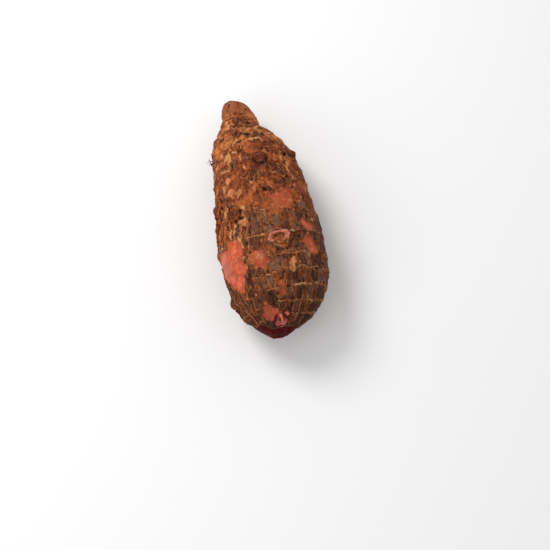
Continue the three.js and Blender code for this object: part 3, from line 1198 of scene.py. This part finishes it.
class MALANGA_OT_fibres(bpy.types.Operator):
    """Adds the raised fibres that run lengthwise in the splits of the skin."""

    bl_idname = "malanga.fibres"
    bl_label = "Lengthwise Fibres"

    def execute(self, context):
        skin = skin_of(context.scene.malanga_shape)
        rng = np.random.default_rng(23)
        count, steps = context.scene.malanga_shape.fibres, 10
        weight = np.where(RINGS < -5, 5, 1)
        band = rng.choice(len(RINGS), count, p=weight / weight.sum())
        line = rng.integers(0, SPLITS, count).astype(float)
        length = rng.gamma(4, 1.5, count)
        middle = rng.uniform(RINGS[band], BAND_ENDS[band])
        room = np.minimum(middle - FIBRE_REACH[0], FIBRE_REACH[1] - middle)
        length = np.minimum(length, 2 * room)
        along = middle[:, None] + length[:, None] * np.linspace(-0.5, 0.5, steps)
        line_place = (skin.split_place(line, band + 1) + rng.normal(0, 0.09, count))[:, None]
        around = line_place * 360 / SPLITS + 0 * along
        for _ in range(3):
            around = (line_place - skin.bend(on_cylinder(along, around))) * 360 / SPLITS
        keep = lies_clear(skin, along, around) & (length > 1.2)
        along, around = along[keep], around[keep]
        wander = np.stack([along, 9.0 * np.arange(len(along))[:, None] + 0 * along, 0 * along], axis=-1)
        around = around + 0.6 * fractal(wander, (3, 1, 1), 2, 24)
        lift = 0.02 + 0.1 * fractal(wander, (4, 1, 1), 1, 25)
        radii, tones = (0.08, 0.24), (0.38, 0.22)
        add_fibres("lengthwise_fibres", skin, rng, (along, around), lift, radii, bell(steps), tones)
        return {"FINISHED"}


class MALANGA_OT_fringes(bpy.types.Operator):
    """Adds the fringe on each ring scar: threads that lie along the ring, and a comb of short
    fibres that hang from it towards the tip."""

    bl_idname = "malanga.fringes"
    bl_label = "Ring Fringes"

    def execute(self, context):
        shape = context.scene.malanga_shape
        skin = skin_of(shape)
        rng = np.random.default_rng(29)
        weight = np.where(RINGS < -8, 6, 1) * (RINGS < 50)
        chance = weight / weight.sum()
        self.add_threads(skin, rng, rng.choice(len(RINGS), shape.threads, p=chance))
        self.add_combs(skin, rng, rng.choice(len(RINGS), shape.combs, p=chance))
        return {"FINISHED"}

    def add_threads(self, skin, rng, ring):
        steps = 9
        start, sweep = (rng.uniform(*ends, (len(ring), 1)) for ends in ((-180, 180), (2, 11)))
        around = start + sweep * np.linspace(0, 1, steps)
        along = np.stack([skin.ring_along(r, a) for r, a in zip(ring, around)])
        along = along + rng.normal(0, 0.3, (len(ring), 1))
        keep = lies_clear(skin, along, around)
        places, radii, tones = (along[keep], around[keep]), (0.09, 0.27), (0.75, 0.25)
        add_fibres("ring_threads", skin, rng, places, 0.06, radii, bell(steps), tones)

    def add_combs(self, skin, rng, ring):
        steps = 4
        around = rng.uniform(-180, 180, len(ring))
        top = np.array([skin.ring_along(r, a) for r, a in zip(ring, around)])
        keep = fractal(on_cylinder(RINGS[ring] * 3, around), 9, 2, 30) > -0.1
        keep &= skin.sampled("flesh", top, around) < -0.5
        around, top = around[keep, None], top[keep, None]
        along = top - rng.uniform(0.7, 2.4, top.shape) * np.linspace(-0.15, 1, steps)
        around = around + rng.normal(0, 1.2, top.shape) * np.linspace(0, 1, steps)
        keep = lies_clear(skin, along, around) & (along.min(1) > -78)
        places, radii, tones = (along[keep], around[keep]), (0.07, 0.15), (0.5, 0.25)
        taper = np.linspace(1, 0.4, steps)
        add_fibres("ring_combs", skin, rng, places, 0.14, radii, taper, tones, sides=3)


def leaf_grid(rows, columns):
    """Places on closed leaves: v from the base (0) to the tip (1), u across from -1 to 1, and w
    through the leaf from -1 under it to 1 over it. Each row is a loop: the cosine and the sine
    of the turn round it."""
    v = (np.arange(rows) + 0.5)[:, None] / rows
    turn = 2 * np.pi * (np.arange(columns) + 0.5) / columns
    return v, np.cos(turn), np.sin(turn)


def own_noise(count, gap, x, y, seed, stretch=1):
    """Noise over x and y that is different for each of count leaves: each has its own plane,
    this far from the last one's."""
    number = gap * np.arange(count)[:, None, None]
    return noise(np.stack(np.broadcast_arrays(number, x, y), axis=-1) * stretch, seed)


# Long peeling strips: along, around, length, width, how far the edges lift, and tone.
PEELING_STRIPS = [
    (-12, -64, 15, 2.6, 0.8, 0.4),
    (-10, -76, 20, 3.0, 1.0, 0.25),
    (-16, -56, 10, 2.2, 0.7, 0.45),
    (-2, -70, 13, 2.4, 0.7, 0.3),
    (-14, -48, 11, 1.9, 0.6, 0.5),
    (6, -64, 11, 2.0, 0.5, 0.35),
    (-20, -34, 9, 1.6, 0.5, 0.6),
    (-52, -72, 14, 2.4, 0.8, 0.2),
    (41, -88, 9, 3.4, 0.9, -0.1),
    (-38, -9, 14, 1.2, 0.4, 0.2),
    (-45, -6, 16, 1.5, 0.5, 0.3),
    (-52, -8, 12, 1.1, 0.4, 0.4),
    (46, -52, 9, 2.2, 0.5, 0.55),
]
# The ranges of the same six for the strips that are strewn over the sides and the back.
STREWN_STRIPS = [(-66, 45), (70, 290), (5, 14), (1.2, 2.6), (0.3, 0.8), (0, 0.6)]


class MALANGA_OT_flakes(bpy.types.Operator):
    """Adds loose skin: long strips that peel off, and small flakes whose edges curl up."""

    bl_idname = "malanga.flakes"
    bl_label = "Loose Skin"

    def execute(self, context):
        shape = context.scene.malanga_shape
        skin = skin_of(shape)
        rng = np.random.default_rng(31)
        self.add_leaves(skin, rng, "small_flakes", self.strewn(rng, shape.flakes), 0.55, (6, 8))
        strewn = np.stack([rng.uniform(*ends, shape.strips) for ends in STREWN_STRIPS], axis=1)
        strips = np.concatenate([PEELING_STRIPS, strewn])
        self.add_leaves(skin, rng, "peeling_strips", strips, 0.12, (18, 12))
        return {"FINISHED"}

    def strewn(self, rng, tries):
        """Small flakes, most of them on the left flank and the shoulder."""
        along = rng.uniform(-68, 60, tries)
        around = rng.uniform(-180, 180, tries)
        upper = smooth(along, -14, -4)
        side = 0.2 * smooth(-around, 15, 45) + 0.2 * smooth(around, 25, 60) * upper
        wanted = (0.07 + 0.06 * upper + side) * (1 - 0.6 * smooth(along, 30, 42))
        keep = rng.uniform(0, 1, tries) < wanted
        count = keep.sum()
        length = rng.uniform(1.0, 3.6, count)
        width = length * rng.uniform(0.2, 0.55, count)
        lift = rng.uniform(0.0, 0.35, count)
        tone = rng.uniform(-0.1, 0.75, count)
        return np.stack([along[keep], around[keep], length, width, lift, tone], axis=1)

    def add_leaves(self, skin, rng, name, rows, turning, grid):
        """Closed leaves laid on the skin. Along a leaf its half width goes as a sine's power,
        made ragged by noise, and its edges and ends lift as squares."""
        along, around, length, width, edge_lift, tone = rows.T[..., None, None]
        v, u, w = leaf_grid(*grid)
        ragged = 1 + 0.45 * own_noise(len(rows), 7.0, 0.45 * length * v, 1.2 * u, 32)
        wander = own_noise(len(rows), 7.0, 0.45 * length * v, 1.2 * u, 35, (1, 0.6, 0))
        turn = rng.normal(0, turning, len(rows))[:, None, None]
        lengthwise = length * (v - 0.5)
        sideways = width / 2 * u * np.sin(np.pi * v) ** 0.4 * ragged + 0.25 * width * wander
        body = 0.11 * np.sin(np.pi * v) ** 0.3 * w
        lift = 0.05 + edge_lift * (0.6 * u**2 * np.abs(ragged) + 0.5 * (2 * v - 1) ** 4) + body
        place_along = along + lengthwise * np.cos(turn) - sideways * np.sin(turn)
        aside = lengthwise * np.sin(turn) + sideways * np.cos(turn)
        place_around = around + np.degrees(aside / np.maximum(skin.width_at(along), 6))
        points, _ = skin.at(place_along, place_around, lift)
        keep = skin.sampled("flesh", place_along, place_around).max((1, 2)) < 0.3
        keep &= points[..., 2].min((1, 2)) > 0
        material = made_once("malanga_loose_skin", flake_material)
        add_shells(name, points[keep], material, {"tone": tone[keep]})


# Bud scales. Each is: turn and spread in degrees (0 points to +X and 90 to the neck), radius of
# its base and of its free edge as shares of the bud's, lift of both in mm, and freshness.
CLOSED_BUD = [
    (-90, 118, 1.1, 0.66, -0.1, 0.4, 0.0),
    (90, 122, 1.0, 0.5, 0.0, 0.7, 0.1),
    (-90, 105, 0.78, 0.22, 0.2, 0.85, 0.0),
    (90, 112, 0.68, 0.12, 0.35, 1.1, 0.35),
    (-80, 95, 0.42, 0.02, 0.6, 1.2, 0.0),
]
FRESH_BUD = [
    (-90, 150, 0.95, 0.0, -0.5, 1.9, 0.5),
    (90, 150, 0.95, 0.0, -0.5, 2.0, 0.5),
    (-60, 120, 1.12, 0.4, -0.5, 1.1, 0.5),
    (190, 105, 1.1, 0.12, -0.5, 2.5, 0.62),
    (15, 80, 1.0, 0.1, -0.3, 2.5, 0.85),
]
PALE_BUD = [
    (-90, 150, 1.1, 0.0, -0.4, 1.5, 0.7),
    (90, 150, 1.1, 0.0, -0.4, 1.6, 0.9),
    (60, 95, 1.05, 0.1, -0.2, 2.0, 1.1),
    (200, 85, 0.95, 0.02, -0.1, 2.1, 1.0),
]
KNOB_BUD = [
    (-90, 150, 1.25, 0.0, -0.9, 0.9, -0.6),
    (90, 150, 1.25, 0.0, -0.9, 1.0, -0.6),
    (160, 80, 1.1, 0.25, -0.5, 1.05, -0.3),
]
LIPPED_BUD = [
    (-90, 150, 1.15, 0.0, -0.7, 1.0, -0.6),
    (90, 140, 1.1, 0.2, -0.5, 1.0, -0.5),
    (95, 80, 0.85, 0.12, 0.2, 1.35, 0.42),
]
# Above the open bud: two small scales.
TORN_BUD = [(90, 80, 1.0, 0.2, -0.3, 0.8, 0.75), (-90, 90, 0.9, 0.3, 0.1, 0.6, 0.6)]
# The parts of each special bud: shift along in mm, shift around in degrees, size and scales.
BUD_PARTS = {
    0: [(0.3, 0, 0.84, LIPPED_BUD)],
    OPEN_BUD: [(6.2, -2, 0.52, TORN_BUD)],
    TIP_BUD: [(-0.6, -2, 1.15, FRESH_BUD), (1.5, 10, 0.46, PALE_BUD), (-1.0, 19, 0.66, CLOSED_BUD)],
    3: [(0, 0, 1, KNOB_BUD)],
    4: [(0, 0, 1.1, KNOB_BUD)],
    6: [(0, 0, 1, KNOB_BUD)],
    10: [(0, 0, 1, KNOB_BUD)],
}


class MALANGA_OT_buds(bpy.types.Operator):
    """Adds the scales of the side buds, the open bud and the tip bud."""

    bl_idname = "malanga.buds"
    bl_label = "Bud Scales"

    def execute(self, context):
        skin = skin_of(context.scene.malanga_shape)
        rows = np.array(
            [
                (along + ahead, around + aside, radius * size, *scale)
                for index, (along, around, radius, _) in enumerate(BUDS)
                for ahead, aside, size, scales in BUD_PARTS.get(index, [(0, 0, 0.8, CLOSED_BUD)])
                for scale in scales
            ]
        )
        along, around, radius, turn, spread, base, edge, base_lift, edge_lift, fresh = (
            rows.T[..., None, None]
        )
        v, u, w = leaf_grid(10, 28)
        wave = own_noise(len(rows), 5.0, 2.2 * u, 0.8 * v, 33)
        fine_wave = own_noise(len(rows), 5.0, 2.2 * u, 0.8 * v, 36, (1, 3, 2))
        wave = wave + 0.4 * fine_wave * (fresh >= 0)
        reach = base + (edge - base) * v * (1 + 0.1 * wave)
        narrowing = np.sqrt(1 - (0.75 + 0.2 * np.clip(fresh, 0, 1)) * v**2)
        angle = np.radians(turn + spread * u * narrowing)
        away = 0.88 * radius * reach
        pointed = 0.8 * np.clip(fresh * 1.5, 0, 1)
        rise = np.sin(np.pi / 2 * v) * (1 - pointed) + v * pointed
        lift = base_lift + (edge_lift - base_lift) * rise + 0.1 * wave * (1 - 0.6 * pointed)
        lift = lift + w * 0.2 * np.sin(np.pi * (0.15 + 0.8 * v))
        place_around = around + np.degrees(1.1 * away * np.cos(angle) / skin.width_at(along))
        points, _ = skin.at(along + 0.84 * away * np.sin(angle), place_around, lift)
        points[..., 2] = np.maximum(points[..., 2], 0)
        fields = {"fresh": fresh, "edge": (np.maximum(v**1.5, np.abs(u) ** 3), 0, 1)}
        add_shells("bud_scales", points, scale_material(context.scene.malanga_colours), fields)
        return {"FINISHED"}


class MALANGA_OT_open_bud(bpy.types.Operator):
    """Adds the flared cup that a broken bud has left. Its wall goes up from under the skin to
    the rim and down inside to the floor. The rim is high and broad on both sides, has a peak
    each side of a flat top edge, and is low towards the tip."""

    bl_idname = "malanga.open_bud"
    bl_label = "Open Bud"

    def execute(self, context):
        skin = skin_of(context.scene.malanga_shape)
        angle = 2 * np.pi * np.arange(96, 0, -1) / 96
        degrees, cosine, sine = np.degrees(angle), np.cos(angle), np.sin(angle)
        wave = noise(np.stack([2 * cosine, 2 * sine, 0 * angle], axis=-1), 46)
        sides = np.abs(cosine) ** 1.5
        top = smooth(sine, 0.1, 0.7)
        peaks = sum(hump(degrees, peak, 13) for peak in (48, 140))
        rim = 0.15 + 0.95 * sides + 0.6 * peaks + 0.3 * top + 0.12 * wave
        foot = 0.65 * rim - 0.25
        breadth = 0.12 + 0.2 * smooth(cosine, 0.1, 0.9) + 0.07 * smooth(-cosine, 0.3, 0.9) + 0.08 * top
        t = np.linspace(0, 1, 9)[:, None]
        n = t[1:]
        f = np.linspace(0, 1, 18)[1:-1, None]
        bottom = 1.4 * np.sin(3 * angle + 1) * (1 - f) * f - 2
        # The wall's outside under the skin and above it, its inside, and the floor: each is
        # shares of the bud's radius, heights in mm and how pink it is.
        parts = [
            (0.2 + 0.86 * t, 1.5 * t - 3, 0.6),
            (1.06 - 0.08 * n, (rim + 1.5) * n - 1.5, 0.6),
            (0.98 - breadth * n, rim + (foot - rim) * n**2, 1 - 0.4 * n),
            ((0.98 - breadth) * (1 - f), foot + (bottom - foot) * smooth(f, 0, 0.85), 0.6 - 1.8 * f),
        ]
        parts = [np.broadcast_arrays(*part, rim)[:3] for part in parts]
        share, lift, pink = np.concatenate(parts, axis=1)
        share = share * (1 + 0.05 * wave) * (1 - 0.2 * hump(degrees, 92, 30))
        pink = pink - 0.6 * (1 - sides) * (1 - np.minimum(peaks, 1)) * (1 - top)
        pink = pink - 0.7 * smooth(-sine, 0.5, 0.9)

        along, around, radius, _ = BUDS[OPEN_BUD]
        on_floor = (np.arange(len(share)) + 1 - len(share) + len(f)) / len(f)
        aside = np.degrees(1.08 * radius * share * cosine / skin.width_at(along))
        around = around + CUP_SHIFT[1] + aside
        along = along + CUP_SHIFT[0] + 0.7 * radius * share * sine
        along = along + 1.1 * np.clip(on_floor, 0, 1)[:, None]
        rough = 0.14 * fractal(on_cylinder(along, around), 2.2, 3, 47)
        base, outwards = skin.under(along, around)
        points = base + (lift + rough)[..., None] * outwards
        material = cup_material(context.scene.malanga_colours)
        add_shells("open_bud", points[None], material, {"edge": (pink[None], 0, -1)})
        return {"FINISHED"}


class MALANGA_OT_sheath(bpy.types.Operator):
    """Adds the smooth leaf bases that wrap the growing tip: shells one over the other, each
    starting at its own ragged and slanting edge and closing at the tip."""

    bl_idname = "malanga.sheath"
    bl_label = "Tip Sheath"

    def execute(self, context):
        skin = skin_of(context.scene.malanga_shape)
        rows, columns = 34, 220
        around = np.arange(columns) * 360 / columns
        # Each shell's inset, as a share of the way from the sheath's edge to the tip, then how
        # far it slants, as such a share, and where in degrees it reaches furthest inwards.
        shells = [(0, 0, 0), (0.38, 0.12, 140), (0.6, 0.09, 265), (0.78, 0.06, 30)]
        inset, tilt, lowest = np.array(shells).T[..., None]
        layer = np.arange(len(inset))[:, None, None]
        tilt = tilt * np.cos(np.radians(around - lowest))
        torn = 0.02 * fractal(on_cylinder(25 * layer[:, 0] + 0 * tilt, around + 0 * tilt), 9, 3, 49)
        whole = walked(-80)
        edge = walked(sheath_edge(around))
        start = edge + (whole - edge) * (inset + tilt + torn * (inset > 0)) - 1.2 * (inset == 0)
        share = 0.995 * np.sin(np.linspace(0, np.pi / 2, rows + 2))[1:-1, None]
        far = start[:, None] + (whole - start[:, None]) * share
        along = np.interp(far, walked(skin.all_along), skin.all_along)
        base, outwards = skin.under(along, around + 0 * along, skin.ends[1] + np.array([0, 14, 0]))
        fibre_space = on_cylinder(25 * layer + 0.12 * far, around + 0 * far)
        inwards = np.clip((far - edge) / (whole - edge), 0, 1)
        lift = -0.85 + 0.85 * smooth(far - edge, -1, 0.8) + 1.1 * np.sin(np.pi * inwards**0.8) ** 2
        lift = lift + 0.26 * layer * smooth(share, -0.02, 0.06)
        lift = lift + 0.1 * fractal(fibre_space, 3.4, 3, 48) * (1 - share)
        points = base + lift[..., None] * outwards
        points[..., 0] += 2 * inwards**2
        points[..., 2] = np.maximum(points[..., 2], 0)
        fields = {"edge": share + 0.3 * (layer == 0), "fibre_space": fibre_space}
        material = sheath_material(context.scene.malanga_colours)
        middles = points[:, 0].mean(1) + np.array([0, 1.5, 0])
        tips = points[:, -1].mean(1) + np.array([0, -0.02, 0])
        add_shells("tip_sheath", points, material, fields, middles, tips)
        return {"FINISHED"}


class MALANGA_OT_rootlets(bpy.types.Operator):
    """Adds dried rootlets: a tuft on the left of the shoulder, and short ones on the back, the
    underside and round the tip."""

    bl_idname = "malanga.rootlets"
    bl_label = "Rootlets"

    def execute(self, context):
        skin = skin_of(context.scene.malanga_shape)
        rng = np.random.default_rng(37)
        steps, tuft, strewn = 12, 4, 34
        count = tuft + strewn
        along = np.concatenate([rng.normal(TUFT_PLACE[0], 0.7, tuft), rng.uniform(-58, 50, strewn)])
        around = np.concatenate([rng.normal(TUFT_PLACE[1], 4, tuft), rng.uniform(105, 255, strewn)])
        length = np.concatenate([rng.uniform(2.0, 5.5, tuft), rng.uniform(1.2, 5.5, strewn)])
        root, outwards = skin.at(along, around, -0.2)
        aside = unit(np.cross(outwards, (0, 1, 0)))
        lean = unit(
            outwards * rng.uniform(0.35, 0.8, (count, 1))
            + np.array([0, 1, 0]) * rng.normal(0, 0.6, (count, 1))
            + aside * rng.normal(0, 0.5, (count, 1))
        )
        share = np.linspace(0, 1, steps)
        number = 11.0 * np.arange(count)[:, None]
        wander = np.stack(np.broadcast_arrays(share * 2.2, number, 0.0), axis=-1)
        wave = np.stack([noise(wander, seed) for seed in (38, 39, 40)], axis=-1)
        reach = length[:, None, None] * share[:, None]
        paths = root[:, None] + reach * lean[:, None] + 0.22 * reach * wave
        paths[..., 2] = np.maximum(paths[..., 2], 0.12)
        radius = rng.uniform(0.2, 0.36, (count, 1)) * np.linspace(1, 0.4, steps)
        tone = rng.uniform(-0.2, 0.2, count)
        add_strands("rootlets", paths, radius, np.cross(lean, (0.3, 0.5, 0.8))[:, None], tone, 5)
        return {"FINISHED"}


class MALANGA_OT_break_scar(bpy.types.Operator):
    """Adds the scar on the neck's end, where the cormel broke from the mother corm: a low plug
    of broken cork that follows the neck's end, with a ragged rim and a shallow bowl."""

    bl_idname = "malanga.break_scar"
    bl_label = "Break Scar"

    def execute(self, context):
        skin = skin_of(context.scene.malanga_shape)
        rows, columns = 26, 96
        share = np.linspace(1, 0, rows + 1)[:-1, None]
        around = np.arange(columns) * -360 / columns
        ragged = 1 + 0.06 * fractal(on_cylinder(0 * around, around), 14, 3, 43)
        away = SCAR_RADIUS * share * ragged
        # Near the neck's end the half width only grows, so it tells the place along.
        along = np.interp(away, skin.all_half_width[:NECK_ROWS], skin.all_along[:NECK_ROWS])
        points, _ = skin.at(along, around + 0 * along, 0.0)
        rough = fractal(points, 2.4, 4, 44)
        thick = 0.75 * np.sin(np.pi / 2 * np.clip((1 - share) * 7, 0, 1)) - 0.5 * (1 - share) ** 0.5
        pores = smooth(fractal(points * (1, 0, 1), 1.7, 1, 45), 0.8, 1.5)
        lift = -0.1 + thick + (0.14 * rough - 0.3 * pores) * smooth(1 - share, 0, 0.2)
        points, _ = skin.at(along, around + 0 * along, lift)
        back = skin.ends[:1] - np.array([0, 4, 0])
        material = scar_material(context.scene.malanga_colours)
        add_shells("break_scar", points[None], material, {"edge": (share, 1, 0)}, back)
        return {"FINISHED"}


def add_light(name, place, aim, size, power):
    light = bpy.data.lights.new(name, "AREA")
    light.shape = "DISK"
    light.size = size
    light.energy = power
    lamp = bpy.data.objects.new(name, light)
    lamp.location = place
    lamp.rotation_euler = (Vector(aim) - Vector(place)).to_track_quat("-Z", "Y").to_euler()
    bpy.context.scene.collection.objects.link(lamp)


class MALANGA_OT_stage(bpy.types.Operator):
    """Adds the floor, the lights and the camera."""

    bl_idname = "malanga.stage"
    bl_label = "Stage"

    def execute(self, context):
        stage = context.scene.malanga_stage
        bpy.context.scene.view_settings.view_transform = "Standard"
        mesh = bpy.data.meshes.new("floor")
        corners = [(x * FLOOR_HALF, y * FLOOR_HALF, 0) for x, y in ((-1, -1), (1, -1), (1, 1), (-1, 1))]
        mesh.from_pydata(corners, [], [(0, 1, 2, 3)])
        white = Shader("floor_white", roughness=0.9, Base_Color=(0.94, 0.94, 0.94, 1))
        mesh.materials.append(white.material)
        floor = bpy.data.objects.new("floor", mesh)
        bpy.context.scene.collection.objects.link(floor)

        world = bpy.data.worlds.new("studio")
        world.use_nodes = True
        sky = world.node_tree.nodes["Background"].inputs
        sky["Color"].default_value = (1, 1, 1, 1)
        sky["Strength"].default_value = stage.sky
        context.scene.world = world
        middle = (CAD_BOX[0] + CAD_BOX[1]) / 2
        add_light("key", KEY_PLACE, middle, KEY_SIZE, stage.key_power)
        add_light("fill", FILL_PLACE, middle, FILL_SIZE, stage.fill_power)

        turn, tip = stage.azimuth, stage.elevation
        back = Vector(
            (math.sin(turn) * math.cos(tip), -math.cos(turn) * math.cos(tip), math.sin(tip))
        )
        camera = bpy.data.cameras.new("camera")
        camera.lens = LENS
        camera.sensor_width = 36
        view = bpy.data.objects.new("camera", camera)
        view.location = Vector(VIEW_TARGET) * UNIT + back * stage.distance * UNIT
        view.rotation_euler = (-back).to_track_quat("-Z", "Y").to_euler()
        context.scene.collection.objects.link(view)
        context.scene.camera = view
        return {"FINISHED"}


PIECES = [
    MALANGA_OT_skin,
    MALANGA_OT_fibres,
    MALANGA_OT_fringes,
    MALANGA_OT_flakes,
    MALANGA_OT_buds,
    MALANGA_OT_open_bud,
    MALANGA_OT_sheath,
    MALANGA_OT_rootlets,
    MALANGA_OT_break_scar,
]


class VIEW3D_PT_malanga(bpy.types.Panel):
    """Lists the settings and the operators in the sidebar."""

    bl_label = "Malanga"
    bl_space_type = "VIEW_3D"
    bl_region_type = "UI"
    bl_category = "Malanga"

    def draw(self, context):
        layout = self.layout
        for operator in [*PIECES, MALANGA_OT_stage]:
            layout.operator(operator.bl_idname)
        scene = context.scene
        for group in (scene.malanga_shape, scene.malanga_colours, scene.malanga_stage):
            for name in group.__annotations__:
                layout.prop(group, name)


CLASSES = [MalangaShape, MalangaColours, MalangaStage, *PIECES, MALANGA_OT_stage, VIEW3D_PT_malanga]


def register():
    for cls in CLASSES:
        bpy.utils.register_class(cls)
    bpy.types.Scene.malanga_shape = PointerProperty(type=MalangaShape)
    bpy.types.Scene.malanga_colours = PointerProperty(type=MalangaColours)
    bpy.types.Scene.malanga_stage = PointerProperty(type=MalangaStage)


def unregister():
    del bpy.types.Scene.malanga_shape
    del bpy.types.Scene.malanga_colours
    del bpy.types.Scene.malanga_stage
    for cls in reversed(CLASSES):
        bpy.utils.unregister_class(cls)


def main():
    register()
    for operator in PIECES:
        category, name = operator.bl_idname.split(".")
        getattr(getattr(bpy.ops, category), name)()
    bpy.ops.malanga.stage()


if __name__ == "__main__":
    main()
